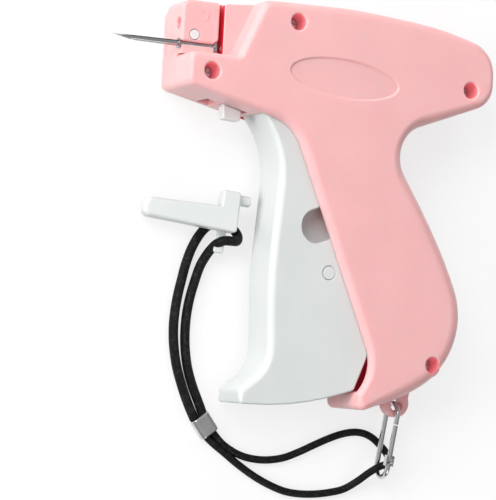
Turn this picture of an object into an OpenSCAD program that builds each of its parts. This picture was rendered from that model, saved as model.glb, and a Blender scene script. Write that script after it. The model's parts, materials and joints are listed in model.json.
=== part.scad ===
// Fabric tagging tool: a hand-held tool that pushes fine plastic fasteners through cloth.
// It lies on its right side. Before place() moves it, x runs to the rear from the fastener slot,
// y runs up from the needle axis, and z runs from the right side of the case to the left.

/* [Case] */
// Thickness of the case from side to side
case_t = 25; // [24:0.5:28]
// Thickness of the side walls
side_wall = 3; // [2.9:0.1:3.2]
// Thickness of the wall round the edge
rim_wall = 2.2; // [1.8:0.1:2.6]
// Rounding of the case's long edges
edge_round = 2.7; // [1.5:0.1:2.8]
// Rounding of the grip's rear edges, larger than the others
grip_round = 4.6; // [2.8:0.1:4.8]
// Rounding of the edges at the nose
nose_round = 1.4; // [0.8:0.1:2]
// Height of the case's top above the needle axis
barrel_top = 17.5; // [16.5:0.5:21]
// Reach of the case behind the fastener slot
rear_reach = 101.8; // [98:0.2:115]
// Reach of the nose in front of the fastener slot
nose_reach = 14.5; // [14:0.5:17]
// Drop of the grip below the needle axis
grip_drop = 118.9; // [116:0.1:130]
// Depth of the shallow oval in the left side
oval_depth = 0.6; // [0.3:0.1:1]

/* [Screws] */
// Radius of a screw's shank
screw_r = 1.3; // [1:0.1:1.5]
// Radius of a screw's head
screw_head_r = 2.4; // [2:0.1:2.5]
// Radius of a screw recess
recess_r = 2.8; // [2.6:0.1:3]
// Depth of a screw recess
recess_depth = 8; // [6:0.5:9]
// Radius of a screw post
post_r = 4.2; // [3.8:0.1:4.4]

/* [Nose and needle] */
// Height of the needle axis above the right side
needle_z = 14.5; // [14.3:0.1:14.7]
// Outer radius of the needle
needle_r = 1; // [0.9:0.05:1.1]
// Wall of the needle's tube
needle_wall = 0.3; // [0.2:0.05:0.32]
// Length of needle in front of the nose
needle_out = 23.5; // [18:0.5:30]
// Height of the cut-back nose above the right side
pocket_z = 16.5; // [16.4:0.1:17]
// Width of the fastener slot
slot_w = 1.65; // [1.4:0.05:1.8]
// Radius of the cap's peg
peg_r = 1.85; // [1.5:0.05:2.2]
// Clearance of the cap's peg in its socket
peg_clear = 0.05; // [0.02:0.01:0.1]
// Radius of the white nose pin
nose_pin_r = 1.8; // [1.5:0.1:1.9]
// Radius of the ejector rod
rod_r = 0.5; // [0.4:0.05:0.55]

/* [Trigger and drive] */
// Clearance of the trigger beside the case
trigger_gap = 0.4; // [0.3:0.1:0.8]
// Rounding of the trigger's front edges
trigger_round = 2.5; // [1.5:0.1:3]
// Radius of the trigger's pivot pins
pivot_r = 2; // [1.5:0.1:2.2]
// Radius of the pin that links trigger and lever
link_r = 2.3; // [2:0.1:2.6]
// Radius of the pin that the lever rocks on
fulcrum_r = 2; // [1.6:0.1:2.2]
// Radius of the pin between lever and carriage
drive_r = 1.8; // [1.5:0.1:2]
// Thickness of the drive lever
lever_t = 4; // [3:0.5:4.5]
// Running clearance of pins in their holes
pin_clear = 0.05; // [0.02:0.01:0.1]
// Radius of the feed wheel
feed_r = 6.4; // [6:0.1:6.6]
// Teeth of the feed wheel
feed_teeth = 12; // [8:1:16]

/* [Release button] */
// Length of the button along the underside
button_l = 6.7; // [5:0.1:7]
// Width of the button
button_w = 4.4; // [4:0.1:6]
// Height of the button below the underside
button_h = 4.8; // [3:0.1:6]
// Travel of the button
button_travel = 2.4; // [1.8:0.1:2.5]

/* [Lanyard] */
// Radius of the hole in the lug
lug_hole_r = 2; // [1.7:0.1:2.4]
// Thickness of the lug
lug_t = 4; // [3:0.5:4.5]
// Radius of the clip's wire
wire_r = 0.9; // [0.7:0.1:1]
// Length of the clip between the middles of its bows
clip_l = 26; // [24:1:28]
// Distance between the middles of the clip's bars
clip_w = 8; // [7.5:0.5:9]
// Diameter of the cord loop to the clip
clip_cord_d = 2.6; // [2.2:0.1:2.8]
// Diameter of the cord loop to the cap
cap_cord_d = 3.3; // [2.8:0.1:3.4]
// Length of the ferrule
ferrule_l = 7.2; // [6:0.2:8]

/* [Needle cap] */
// Length of the cap's arm
cap_l = 33; // [30:0.5:36]
// Thickness of the cap
cap_t = 6.6; // [6:0.2:7]
// Radius of the bore for the needle
cap_bore_r = 1.5; // [1.2:0.1:2]

/* [Hidden] */
$fn = 48;

// Colours
pink = [0.98, 0.72, 0.72];
pale = [0.86, 0.88, 0.88];
white = [0.95, 0.95, 0.95];
steel = [0.72, 0.73, 0.75];
brass = [0.8, 0.68, 0.4];
black = [0.06, 0.06, 0.07];

// Small shared sizes
eps = 0.02;
arc_step = 12;
fillet_steps = 3;
part_gap = 0.3;
seat = 1.5;
split_z = case_t / 2;
inner_lo = side_wall;
inner_hi = case_t - side_wall;

// Main places in the side view
slot_x0 = -1;
slot_x1 = slot_x0 + slot_w;
ledge_y = -3.3;
nose_drop = 14.2;
nose_front = -nose_reach;
pivot = [20, -14];
link = [42, -72.7];
fulcrum = [48, -51];
drive_y = -5.5;
drive_at = link + (fulcrum - link) * (drive_y - link[1]) / (fulcrum[1] - link[1]);
feed_at = [slot_x1 + feed_r + 0.35, feed_r + 0.3];
feed_z = [5.6, 10.6];
pawl_at = [13.2, -9.5];
screw_at = [
    [nose_front + 8.2, -9.3],
    [24.3, barrel_top - 7.1],
    [rear_reach - 9.7, -5.8],
    [82.1, 17 - grip_drop]
];
lug_at = [75.4, 3.3 - grip_drop];
lug_r = 4.9;
lug_hole = lug_at - [0, 0.6];
lug_z = split_z - lug_t;
origin_xy = [(rear_reach + nose_front - needle_out) / 2, (barrel_top - 0.2 + lug_at[1] - lug_r) / 2];

// Corners of an outline are [x, y, corner radius, edge rounding], counterclockwise
front_top = [25.3, -23.9, 16, edge_round];
toe_round = edge_round * 0.7;
front_low = [60.3, 14.5 - grip_drop, 15, toe_round];
toe = [
    [53.9, 5.9 - grip_drop, toe_round + 0.6, toe_round],
    [54.2, -grip_drop, toe_round + 0.5, toe_round]
];
waist_y = -25.2;
// A height on the grip's back: a share of the way from the waist down to the palm swell.
function back_y(share) = waist_y + share * (32.3 - grip_drop - waist_y);
grip_back = [
    [69.9, 3.7 - grip_drop, 60, grip_round],
    [86.2, 13.1 - grip_drop, 29, grip_round],
    [96.4, back_y(1), 27, grip_round],
    [86.9, back_y(40.1 / 61.4), 120, grip_round],
    [78.5, back_y(25.8 / 61.4), 120, grip_round],
    [61.4, back_y(0), 11.5, grip_round],
    [rear_reach, -9.3, 9, edge_round],
    [rear_reach, barrel_top - 8.3, 11.5, edge_round],
    [rear_reach - 21.8, barrel_top - 2.6, 120, edge_round],
    [46, barrel_top, 150, edge_round],
    [15, barrel_top - 0.8, 15, edge_round]
];
nose_low = [nose_front, -nose_drop, nose_round + 0.8, nose_round];
core_low = [nose_front, -nose_drop, 3.2, 0];
nose_top_y = barrel_top - 4.6;
ridge_low = [2.9, ledge_y];
ridge_top = [11.4, barrel_top - 1.3];
right_outline = concat(
    [nose_low, front_top, front_low], toe, grip_back,
    [[nose_front, nose_top_y, 3, nose_round]]
);
left_outline = concat(
    [nose_low, front_top, front_low], toe, grip_back,
    [
        [ridge_top[0], ridge_top[1], nose_round + 0.8, nose_round],
        [ridge_low[0], ridge_low[1], 1.5, nose_round],
        [nose_front, ledge_y, nose_round + 0.6, nose_round]
    ]
);
grip_foot = [55, -grip_drop, 3, 0];
slot_top_y = barrel_top - 2.8;
right_core = concat(
    [core_low, front_top, front_low, grip_foot], grip_back,
    [[slot_x1, slot_top_y, 3.2, 0], [slot_x1, ledge_y, 1, 0], [nose_front, ledge_y, 3.2, 0]]
);
left_core = concat(
    [core_low, front_top, front_low, grip_foot], grip_back,
    [
        [ridge_top[0], ridge_top[1], 3.2, 0],
        [ridge_low[0], ridge_low[1], 1, 0],
        [nose_front, ledge_y, 3.2, 0]
    ]
);

// Vector and outline helpers
function unit(v) = v / norm(v);
function xy(c) = [c[0], c[1]];
function wrap(a) = a > 180 ? a - 360 : a < -180 ? a + 360 : a;
function left_of(d) = [-d[1], d[0]];
function before(c, i) = xy(c[(i + len(c) - 1) % len(c)]);
function after(c, i) = xy(c[(i + 1) % len(c)]);
function heading(v) = atan2(v[1], v[0]);
function turn_at(c, i) = wrap(heading(after(c, i) - xy(c[i])) - heading(xy(c[i]) - before(c, i)));
function mitre_at(c, i) =
    let (n1 = left_of(unit(xy(c[i]) - before(c, i))), n2 = left_of(unit(after(c, i) - xy(c[i]))))
    (n1 + n2) / (1 + n1 * n2);
function same(c, v) = [for (k = c) v];
function roundings(c, share) = [for (k = c) k[3] * share];
function steps_of(c) = [for (i = [0:len(c) - 1]) max(1, ceil(abs(turn_at(c, i)) / arc_step))];

// The outline moved in by d[i] at corner i
function inset(c, d) = [
    for (i = [0:len(c) - 1])
        let (q = xy(c[i]) + mitre_at(c, i) * d[i], r = c[i][2] - sign(turn_at(c, i)) * d[i])
        [q[0], q[1], max(0.1, r), c[i][3]]
];

// The outline's points, with each corner as an arc of steps[i] pieces at height z[i]
function arc_points(c, steps, z) = [
    for (i = [0:len(c) - 1])
        let (
            p = xy(c[i]), r = c[i][2], u = unit(before(c, i) - p), v = unit(after(c, i) - p),
            half = acos(u * v) / 2, m = p + unit(u + v) * r / sin(half),
            a0 = heading(p + u * r / tan(half) - m), a1 = heading(p + v * r / tan(half) - m)
        )
        for (k = [0:steps[i]])
            let (a = a0 + wrap(a1 - a0) * k / steps[i])
            [m[0] + r * cos(a), m[1] + r * sin(a), z[i]]
];
function outline_2d(c) = [for (p = arc_points(c, steps_of(c), same(c, 0))) xy(p)];

// One ring of a rounded edge: angle 0 is the wall, 90 the flat face at height top
function edge_ring(c, steps, top, way, angle) = arc_points(
    inset(c, roundings(c, 1 - cos(angle))), steps,
    [for (k = c) top - way * k[3] * (1 - sin(angle))]
);
function edge_rings(c, steps, top) = [
    for (k = [0:fillet_steps]) edge_ring(c, steps, top, 1, 90 * k / fillet_steps)
];
function foot_rings(c, steps, bottom) = [
    for (k = [0:fillet_steps]) edge_ring(c, steps, bottom, -1, 90 - 90 * k / fillet_steps)
];
function flat_ring(c, steps, z, d) = arc_points(inset(c, same(c, d)), steps, same(c, z));

// Triangles that fill an outline: each step cuts off the first corner that holds no other point
function side_of(a, b, p) = (b[0] - a[0]) * (p[1] - a[1]) - (b[1] - a[1]) * (p[0] - a[0]);
function holds(a, b, c, p) = side_of(a, b, p) >= 0 && side_of(b, c, p) >= 0 && side_of(c, a, p) >= 0;
function corner(left, k) = [for (d = [-1:1]) left[(k + d + len(left)) % len(left)]];
function can_cut(ring, left, t) =
    side_of(ring[t[0]], ring[t[1]], ring[t[2]]) > 0
    && len([
        for (i = left)
            if (i != t[0] && i != t[1] && i != t[2] && holds(ring[t[0]], ring[t[1]], ring[t[2]], ring[i])) i
    ]) == 0;
function first_cut(ring, left, k = 0) =
    k == len(left) - 1 || can_cut(ring, left, corner(left, k)) ? k : first_cut(ring, left, k + 1);
function fill(ring, left, done = []) =
    len(left) == 3 ? concat(done, [left]) :
    let (k = first_cut(ring, left))
    fill(ring, [for (i = left) if (i != left[k]) i], concat(done, [corner(left, k)]));
function cap(ring) = fill(ring, [for (i = [0:len(ring) - 1]) i]);

// A closed solid through rings of equal length, each counterclockwise from above
module skin(rings) {
    n = len(rings[0]);
    last = (len(rings) - 1) * n;
    polyhedron(
        points = [for (ring = rings) for (p = ring) p],
        faces = concat(
            cap(rings[0]),
            [for (t = cap(rings[len(rings) - 1])) [last + t[2], last + t[1], last + t[0]]],
            [for (k = [0:len(rings) - 2]) for (i = [0:n - 1])
                let (j = (i + 1) % n) [k * n + i, k * n + n + i, k * n + n + j]],
            [for (k = [0:len(rings) - 2]) for (i = [0:n - 1])
                let (j = (i + 1) % n) [k * n + i, k * n + n + j, k * n + j]]
        )
    );
}

// A slab from z0 to z1 with its upper edge rounded
module slab(c, z0, z1) {
    steps = steps_of(c);
    skin(concat([flat_ring(c, steps, z0, 0)], edge_rings(c, steps, z1)));
}

// A slab with both edges rounded
module pebble(c, z0, z1) {
    steps = steps_of(c);
    skin(concat(foot_rings(c, steps, z0), edge_rings(c, steps, z1)));
}

// Half of the case, from the split up to its side
module case_half(c) {
    slab(c, split_z, case_t);
}

module plate(points, z0, z1) {
    translate([0, 0, z0])
        linear_extrude(z1 - z0)
            polygon(points);
}

module block(lo, hi) {
    translate(lo)
        cube(hi - lo);
}

module rod(at, r, z0, z1) {
    translate([at[0], at[1], z0])
        cylinder(r = r, h = z1 - z0);
}

// A cylinder along x on the needle axis
module along_needle(r, x0, x1) {
    translate([x0, 0, needle_z])
        rotate([0, 90, 0])
            cylinder(r = r, h = x1 - x0);
}

module place() {
    translate([-origin_xy[0], -origin_xy[1], 0])
        children();
}

// The rim is open for the trigger, from the underside at open_x to the toe
open_x = 13.6;
function trigger_opening() = [
    [open_x, rim_wall / cos(slope) - nose_drop + (open_x - nose_front) * tan(slope)], [open_x, -32],
    [40, 7 - grip_drop], [58.6, 7 - grip_drop]
];

// The hollow inside a half of the case: its wall follows the outline, except at the opening
module core(c, z0, z1) {
    steps = steps_of(c);
    points = outline_2d(inset(c, same(c, rim_wall)));
    first = steps[0] + 1;
    next = first + steps[1] + 1 + steps[2] + 1;
    plate(concat(
        [for (i = [0:first - 1]) points[i]],
        trigger_opening(),
        [for (i = [next:len(points) - 1]) points[i]]
    ), z0, z1);
}

// Places on the sloped underside: along it from the button's front, and down from it
slope = atan2(front_top[1] + nose_drop, front_top[0] - nose_front);
under_dir = [cos(slope), sin(slope)];
under_down = [sin(slope), -cos(slope)];
button_x = 2.8;
button_at = [button_x, -nose_drop + (button_x - nose_front) * tan(slope)];
function under(along, down) = button_at + under_dir * along + under_down * down;
function under_box(a0, a1, d0, d1) = [under(a0, d0), under(a0, d1), under(a1, d1), under(a1, d0)];
stem_l = button_l - 0.8;
stem_w = button_w - 1.2;
button_z = split_z;
flange_end = button_l + 0.5;
button_wall = flange_end + button_travel + 1.35;

// The slot that the button's stem slides in
function stem_way() = under_box(0, stem_l + button_travel + 0.8, -rim_wall - 0.6, 2);

// Case

module right_case() {
    color(pink) {
        difference() {
            difference() {
                translate([0, 0, case_t])
                    mirror([0, 0, 1])
                        case_half(right_outline);
                core(right_core, inner_lo, split_z + 1);
            }
            block([nose_front - 5, ledge_y, inner_lo], [slot_x1, barrel_top + 5, split_z + 1]);
            right_holes();
        }
        difference() {
            right_posts();
            right_holes();
        }
        cradle();
        difference() {
            lug_body();
            rod(lug_hole, lug_hole_r, lug_z - 1, split_z + 1);
        }
    }
}

module right_posts() {
    for (at = screw_at)
        rod(at, post_r, inner_lo - eps, split_z);
    rod(fulcrum, fulcrum_r + 2.4, inner_lo - eps, lever_z0 - 0.3);
    rod(feed_at, 3, inner_lo - eps, feed_z[0] - part_gap);
    // guide rails for the carriage, above, below and beside it
    above = carriage_y[1] + part_gap;
    below = carriage_y[0] - part_gap;
    block([30, above, inner_lo - eps], [74, above + 1.5, 9]);
    block([28, below - 1.5, inner_lo - eps], [74, below, lever_z0 - 0.6]);
    block([30, -3, inner_lo - eps], [74, -1, carriage_z[0] - part_gap]);
    // anchor of the return spring
    block([spring_x1, spring_y - 3, inner_lo - eps], [spring_x1 + 2.4, spring_y + 3.4, spring_z + 3]);
    // seat of the rod guide
    block([guide_x[0] + 1, -1.6, inner_lo - eps], [guide_x[0] + 3, -0.1, guide_z0]);
    // anchor of the check spring
    block([check_root[0] - 0.2, check_root[1] - 1.6, inner_lo - eps], check_anchor_hi);
    // stop behind the button's spring
    stop = under_box(button_wall, button_wall + 1, -3.4 - rim_wall, -rim_wall - 0.1);
    plate(stop, inner_lo - eps, split_z);
}

module right_holes() {
    for (at = screw_at)
        rod(at, screw_r + pin_clear, split_z - recess_depth, split_z + 1);
    rod(pivot, pivot_r, seat, inner_lo + 1);
    rod(fulcrum, fulcrum_r, seat, split_z + 1);
    rod(feed_at, feed_axle_r, seat, split_z + 1);
    rod(nose_pin_at, nose_pin_r, seat, inner_lo + 1);
    // window for the feed wheel's teeth
    block(
        [slot_x1 - 1, feed_at[1] - 5.2, feed_z[0] - 0.4],
        [slot_x1 + rim_wall + 1, feed_at[1] + 5.2, feed_z[1] + 0.4]
    );
    // way out for the empty fastener strip
    block([-2.6, -nose_drop - 6, inner_lo + 0.3], [2.2, ledge_y - rim_wall - 4, split_z + 2]);
    block([slot_x0, ledge_y - rim_wall - 1, inner_lo + 0.6], [slot_x1, ledge_y + 0.5, button_z - 2.9]);
    // opening for the latch finger
    block([-5.2, ledge_y - rim_wall - 1, button_z - 3.1], [3.8, ledge_y + 0.4, split_z + 1]);
    plate(stem_way(), button_z - stem_w / 2 - part_gap, split_z + 1);
}

// The needle's cradle, open towards the left
module cradle() {
    difference() {
        union() {
            block([nose_front + 0.4, ledge_y - 0.5, inner_lo - eps], [slot_x0, -0.35, split_z - 0.1]);
            block([nose_front + 0.4, ledge_y + 0.05, inner_lo], [slot_x0, -0.35, pocket_z - 0.7]);
            block([nose_front + 0.4, -1, inner_lo - eps], [slot_x0, block_y0 - 0.1, hub_z[0] - 0.15]);
        }
        along_needle(needle_r + 0.06, nose_front - 5, slot_x0 + 1);
        block([hub_x[0] - 0.15, hub_y[0] - 0.15, hub_z[0] - 0.15], [slot_x0 + 1, 3, hub_z[1] + 0.1]);
        block([flange_x - 0.3, ledge_y + 1.3, hub_z[0] - 0.15], [slot_x0 + 1, 3, case_t]);
        // opening for the latch finger
        block([-5.6, ledge_y - 1, button_z - 3.4], [slot_x0 + 1, hub_y[0], split_z + 0.4]);
    }
}

module lug_body() {
    plate([
        [lug_at[0] - lug_r + 0.8, lug_at[1] - 0.6], [lug_at[0] + lug_r - 0.8, lug_at[1] - 0.6],
        [lug_at[0] + lug_r + 1.2, lug_at[1] + 9.6], [lug_at[0] - lug_r - 1.2, lug_at[1] + 5.4]
    ], lug_z, split_z);
    rod(lug_at, lug_r, lug_z, split_z);
}

module left_case() {
    pocket = [
        [slot_x1, ledge_y - 0.4], [ridge_low[0] + 1.5, ledge_y - 0.4],
        [ridge_top[0] + 1.5, ridge_top[1] - 0.6], [slot_x1, slot_top_y]
    ];
    under_pocket = [
        [slot_x1 + rim_wall, ledge_y + 0.8], [12, ledge_y + 0.8], [20, slot_top_y - 1.8],
        [slot_x1 + rim_wall, slot_top_y - 2.2]
    ];
    color(pink) {
        union() {
            difference() {
                difference() {
                    case_half(left_outline);
                    core(left_core, split_z - 1, inner_hi);
                }
                plate(under_pocket, split_z - 1, pocket_z - pocket_wall);
                plate(outline_oval(), case_t - oval_depth, case_t + 1);
                left_holes();
            }
            difference() {
                left_posts();
                left_holes();
            }
        }
        difference() {
            plate(pocket, split_z + 0.05, pocket_z);
            plate(under_pocket, split_z - 1, pocket_z - pocket_wall);
            along_needle(rod_r + 0.3, slot_x0, slot_x1 + rim_wall + 2);
            left_holes();
        }
    }
}

module left_posts() {
    for (at = screw_at)
        rod(at, post_r, split_z, inner_hi + eps);
    // stop post that the trigger's window rides round
    rod(fulcrum, stop_r, web_z[1] + 0.4, inner_hi + eps);
    // side guide of the carriage
    block([30, -1, carriage_z[1] + part_gap], [74, 1, inner_hi + eps]);
}

module left_holes() {
    for (at = screw_at) {
        rod(at, recess_r, case_t - recess_depth, case_t + 1);
        rod(at, screw_r + 0.2, split_z - 1, case_t);
    }
    rod(pivot, pivot_r, inner_hi - 1, case_t - seat);
    rod(feed_at, feed_axle_r, split_z - 1, feed_axle_top);
    plate(stem_way(), split_z - 1, button_z + stem_w / 2 + part_gap);
}

oval_at = [42.7, -6.9];
oval_size = [20.8, 6.7];
oval_tilt = -3;
function outline_oval() = [
    for (a = [0:6:354])
        let (x = oval_size[0] * cos(a), y = oval_size[1] * sin(a))
        oval_at + [x * cos(oval_tilt) - y * sin(oval_tilt), x * sin(oval_tilt) + y * cos(oval_tilt)]
];

module case_screws() {
    head_z = case_t - recess_depth;
    color(steel)
        for (at = screw_at)
            translate([at[0], at[1], head_z])
                difference() {
                    union() {
                        translate([0, 0, -10])
                            cylinder(r = screw_r, h = 10.5);
                        cylinder(r = screw_head_r, h = 1.2);
                        translate([0, 0, 1.2])
                            cylinder(r1 = screw_head_r, r2 = screw_head_r - 0.7, h = 0.6);
                    }
                    for (a = [0, 90])
                        rotate([0, 0, a])
                            translate([-1.5, -0.3, 1])
                                cube([3, 0.6, 2]);
                }
}

// Nose and needle

block_y0 = 0.7;
nose_pin_at = [nose_front + 4.6, 3.2];
socket_at = [7, 12.8];
socket_depth = 5;
pocket_wall = 1.1;
hub_x = [nose_front + 1.5, -2.8];
hub_y = [-1.45, 0.55];
hub_z = [9.2, 14.1];
flange_x = -2.2;
slit_turn = 55;
needle_tip_r = needle_r - 0.22;

module nose_block() {
    outline = [
        [nose_front, block_y0, 0.6, 1], [slot_x0, block_y0, 2.2, 1],
        [slot_x0, slot_top_y + 0.1, 1, 1], [nose_front, slot_top_y + 0.1, 3, 1]
    ];
    mark = [-6.6, slot_top_y - 4.6];
    color(pink) {
        difference() {
            slab(outline, inner_lo, pocket_z);
            along_needle(needle_r + 0.06, nose_front - 1, slot_x0 + 1);
            rod(nose_pin_at, nose_pin_r, inner_lo - 1, pocket_z + 1);
            translate([nose_front - 1, socket_at[0], socket_at[1]])
                rotate([0, 90, 0])
                    cylinder(r = peg_r + peg_clear, h = socket_depth + 1);
            // room for the needle's rear flange
            block([flange_x - 0.3, 0, hub_z[0]], [slot_x0 + 1, 1.6, case_t]);
        }
        // raised crescent mark
        difference() {
            rod(mark, 1.7, pocket_z - 0.3, pocket_z + 0.3);
            rod(mark - [0.9, 0.5], 1.6, pocket_z - 1, pocket_z + 1);
        }
    }
}

module nose_pin() {
    color(white)
        rod(nose_pin_at, nose_pin_r - 0.02, seat, pocket_z + 0.15);
}

module needle() {
    tip_x = nose_front - needle_out;
    bevel = 9;
    bore_r = needle_r - needle_wall;
    tip_bore_r = needle_tip_r - needle_wall + 0.08;
    color(steel)
        difference() {
            union() {
                along_needle(needle_r, nose_front - 1.5, flange_x + 0.4);
                tapered(needle_tip_r, needle_r, tip_x, nose_front - 1.4);
                // rear flange, and the flared tabs at the nose
                block([flange_x, -1.9, needle_z - 1.6], [flange_x + 0.9, 1.4, needle_z + 1.5]);
                along_needle(needle_r + 0.75, nose_front - 0.7, nose_front - 0.25);
            }
            along_needle(bore_r, nose_front - 2, 0);
            tapered(tip_bore_r, bore_r, tip_x - 0.5, nose_front - 1.9);
            // the slit that the fastener's thread passes through
            translate([tip_x - 1, 0, needle_z])
                rotate([-slit_turn, 0, 0])
                    translate([0, -0.3, 0])
                        cube([-tip_x + 1, 0.6, 3]);
            // slanted point
            plate([
                [tip_x - 1, -needle_r - 1], [tip_x + bevel, -needle_r - 1], [tip_x + bevel, -needle_r],
                [tip_x, needle_tip_r - 0.12], [tip_x - 1, needle_tip_r - 0.12]
            ], needle_z - 3, needle_z + 3);
        }
}

// A cone along x on the needle axis
module tapered(r0, r1, x0, x1) {
    translate([x0, 0, needle_z])
        rotate([0, 90, 0])
            cylinder(r1 = r0, r2 = r1, h = x1 - x0);
}

module needle_hub() {
    color([0.9, 0.84, 0.68])
        difference() {
            block([hub_x[0], hub_y[0], hub_z[0]], [hub_x[1], hub_y[1], hub_z[1]]);
            along_needle(needle_r + 0.01, nose_front - 1, 1);
        }
}

module cutter_blade() {
    color(steel)
        plate([
            [slot_x0 + 0.05, -2.3], [slot_x0 + 0.5, -2.3], [slot_x0 + 0.5, 0.9], [slot_x0 + 0.05, 1.3]
        ], 4, hub_z[1] - 0.8);
}

// Trigger and drive

trigger_z = [inner_lo + trigger_gap, inner_hi - trigger_gap];
lever_z0 = 8;
lever_z1 = lever_z0 + lever_t;
lever_slot_z = [lever_z0 - 0.8, lever_z1 + 0.8];
web_z = [lever_slot_z[1], lever_slot_z[1] + 2.2];
trigger_r = grip_drop + pivot[1] - 1.4;
stop_r = 4.4;
window_r = norm(fulcrum - pivot);
window_half = stop_r + 1.2;
trigger_turn = 14;
window_angle = atan2(fulcrum[0] - pivot[0], pivot[1] - fulcrum[1]) - trigger_turn - 2;
bottom_mid = 7;
bottom_half = 11;
function round_pivot(r, a) = pivot + r * [sin(a), -cos(a)];
tr_low = round_pivot(trigger_r / cos(bottom_half), bottom_mid);
tr_back = round_pivot(trigger_r / cos(1), bottom_mid + bottom_half + 1);
trigger_outline = [
    [14.6, -20.2, 1.2, 0.6],
    [22.8, -33.8, 30, trigger_round],
    [19.8, -75, 150, trigger_round],
    [21.3, 14 - grip_drop, 13, trigger_round],
    [10.9, 5.5 - grip_drop, 2.6, 2.2],
    [11.5, 0.9 - grip_drop, 1, 0.6],
    [tr_low[0], tr_low[1], trigger_r, 0.8],
    [tr_back[0], tr_back[1], 1.8, 0.8],
    [58.6, 19.4 - grip_drop, 4, 0.8],
    [59.2, 36 - grip_drop, 12, 0.8],
    [27, -15.5, 3, 0.8],
    [17.5, -15.5, 1.6, 0.6]
];

// The window that clears the stop post over the trigger's travel, with a round front end
function window_shape() =
    let (steps = 10, middle = round_pivot(window_r, window_angle), step = (70 - window_angle) / steps)
    concat(
        [for (k = [1:steps]) round_pivot(window_r - window_half, window_angle + step * k)],
        [for (k = [steps:-1:1]) round_pivot(window_r + window_half, window_angle + step * k)],
        [for (a = [0:15:180]) middle + window_half * [sin(window_angle - a), -cos(window_angle - a)]]
    );

module trigger() {
    color(pale)
        difference() {
            union() {
                pebble(trigger_outline, trigger_z[0], trigger_z[1]);
                for (z = [[trigger_z[0], lever_slot_z[0]], [lever_slot_z[1], trigger_z[1]]])
                    rod(pivot, pivot_r + 1.6, z[0], z[1]);
                // arm that carries the feed pawl
                plate([
                    pawl_at + [0, 2.2], pawl_at - [0, 2.2], pivot - [0, 3.2], pivot + [0, 2]
                ], trigger_z[0], lever_slot_z[0]);
                rod(pawl_at, 2.4, trigger_z[0], lever_slot_z[0]);
            }
            rod(pivot, pivot_r + pin_clear, 0, case_t);
            rod(pawl_at, pawl_pin_r, 0, case_t);
            rod(link, link_r + 0.02, 0, case_t);
            // slot for the lever, open at the back and the top
            plate(lever_way(), lever_slot_z[0], lever_slot_z[1]);
            plate(window_shape(), 0, lever_slot_z[0] + 1);
            plate(window_shape(), web_z[1], case_t);
        }
}

function lever_way() = [
    [18.9, -8], [18.9, -22.5], [24.2, -33], [22.2, -72], [24, -98], [34, -104], [80, -104], [80, -8]
];

module trigger_pivot_pins() {
    color(steel) {
        rod(pivot, pivot_r - 0.01, seat, lever_slot_z[0] - 0.1);
        rod(pivot, pivot_r - 0.01, lever_slot_z[1] + 0.1, case_t - seat);
    }
}

module link_pin() {
    color(white)
        rod(link, link_r, trigger_z[0] + 0.3, trigger_z[1] + 0.1);
}

module fulcrum_pin() {
    color(steel)
        rod(fulcrum, fulcrum_r - 0.01, seat, lever_z1 + 0.5);
}

// Distances along the lever from its link pin
lever_tilt = atan2(fulcrum[0] - link[0], fulcrum[1] - link[1]);
fulcrum_near = 16;
fulcrum_far = 23;
fork_root = 61.5;
lever_tip = 72.5;
rock_clear = 1.3;
fork_clear = 1;

module drive_lever() {
    half_arm = 2.8;
    fork_half = drive_r + fork_clear + 1.8;
    eye_r = link_r + 3;
    slot_half = fulcrum_r + rock_clear;
    hub_half = slot_half + 2.2;
    hub_near = fulcrum_near - slot_half - 2;
    hub_far = fulcrum_far + slot_half + 2;
    color(white)
        translate([link[0], link[1], lever_z0])
            rotate([0, 0, -lever_tilt])
                difference() {
                    union() {
                        cylinder(r = eye_r, h = lever_t);
                        linear_extrude(lever_t)
                            polygon([
                                [-eye_r, 0], [eye_r, 0], [hub_half, hub_near], [hub_half, hub_far],
                                [half_arm, hub_far + 8], [half_arm, fork_root - 5], [fork_half, fork_root],
                                [fork_half, lever_tip], [-fork_half, lever_tip], [-fork_half, fork_root],
                                [-half_arm, fork_root - 5], [-half_arm, hub_far + 8],
                                [-hub_half, hub_far], [-hub_half, hub_near]
                            ]);
                    }
                    translate([0, 0, -1])
                        cylinder(r = link_r + pin_clear, h = lever_t + 2);
                    // slot that rides on the fulcrum pin
                    translate([0, 0, -1])
                        linear_extrude(lever_t + 2)
                            slot_shape(slot_half, fulcrum_near - slot_half, fulcrum_far + slot_half);
                    // fork round the drive pin
                    translate([-drive_r - fork_clear, fork_root + 1, -1])
                        cube([2 * (drive_r + fork_clear), lever_tip - fork_root, lever_t + 2]);
                }
}

module slot_shape(r, y0, y1) {
    translate([0, y0 + r])
        circle(r);
    translate([0, y1 - r])
        circle(r);
    translate([-r, y0 + r])
        square([2 * r, y1 - y0 - 2 * r]);
}

carriage_half = 8.5;
carriage_y = [-8, 5.6];
carriage_z = [5, 17.5];

module slide_carriage() {
    x0 = drive_at[0] - carriage_half;
    x1 = drive_at[0] + carriage_half;
    color(black + [0.3, 0.3, 0.32])
        difference() {
            block([x0, carriage_y[0], carriage_z[0]], [x1, carriage_y[1], carriage_z[1]]);
            block([x0 - 1, carriage_y[0] - 1, lever_z0 - 0.5], [x1 + 1, 3.4, lever_z1 + 0.5]);
            rod(drive_at, drive_r, 0, case_t);
            along_needle(rod_r, 0, x1 + 1);
        }
}

module drive_pin() {
    color(steel)
        rod(drive_at, drive_r - 0.01, carriage_z[0] + 0.1, carriage_z[1] - 0.1);
}

module ejector_rod() {
    color(steel)
        along_needle(rod_r - 0.01, slot_x1 + 0.4, drive_at[0] + 4);
}

guide_x = [slot_x1 + rim_wall + 0.1, 11.5];
guide_z0 = split_z + 0.1;

module rod_guide() {
    color(brass)
        difference() {
            block([guide_x[0], -1.6, guide_z0], [guide_x[1], 1.6, pocket_z - pocket_wall - 0.1]);
            along_needle(rod_r + pin_clear, 0, 20);
        }
}

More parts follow.
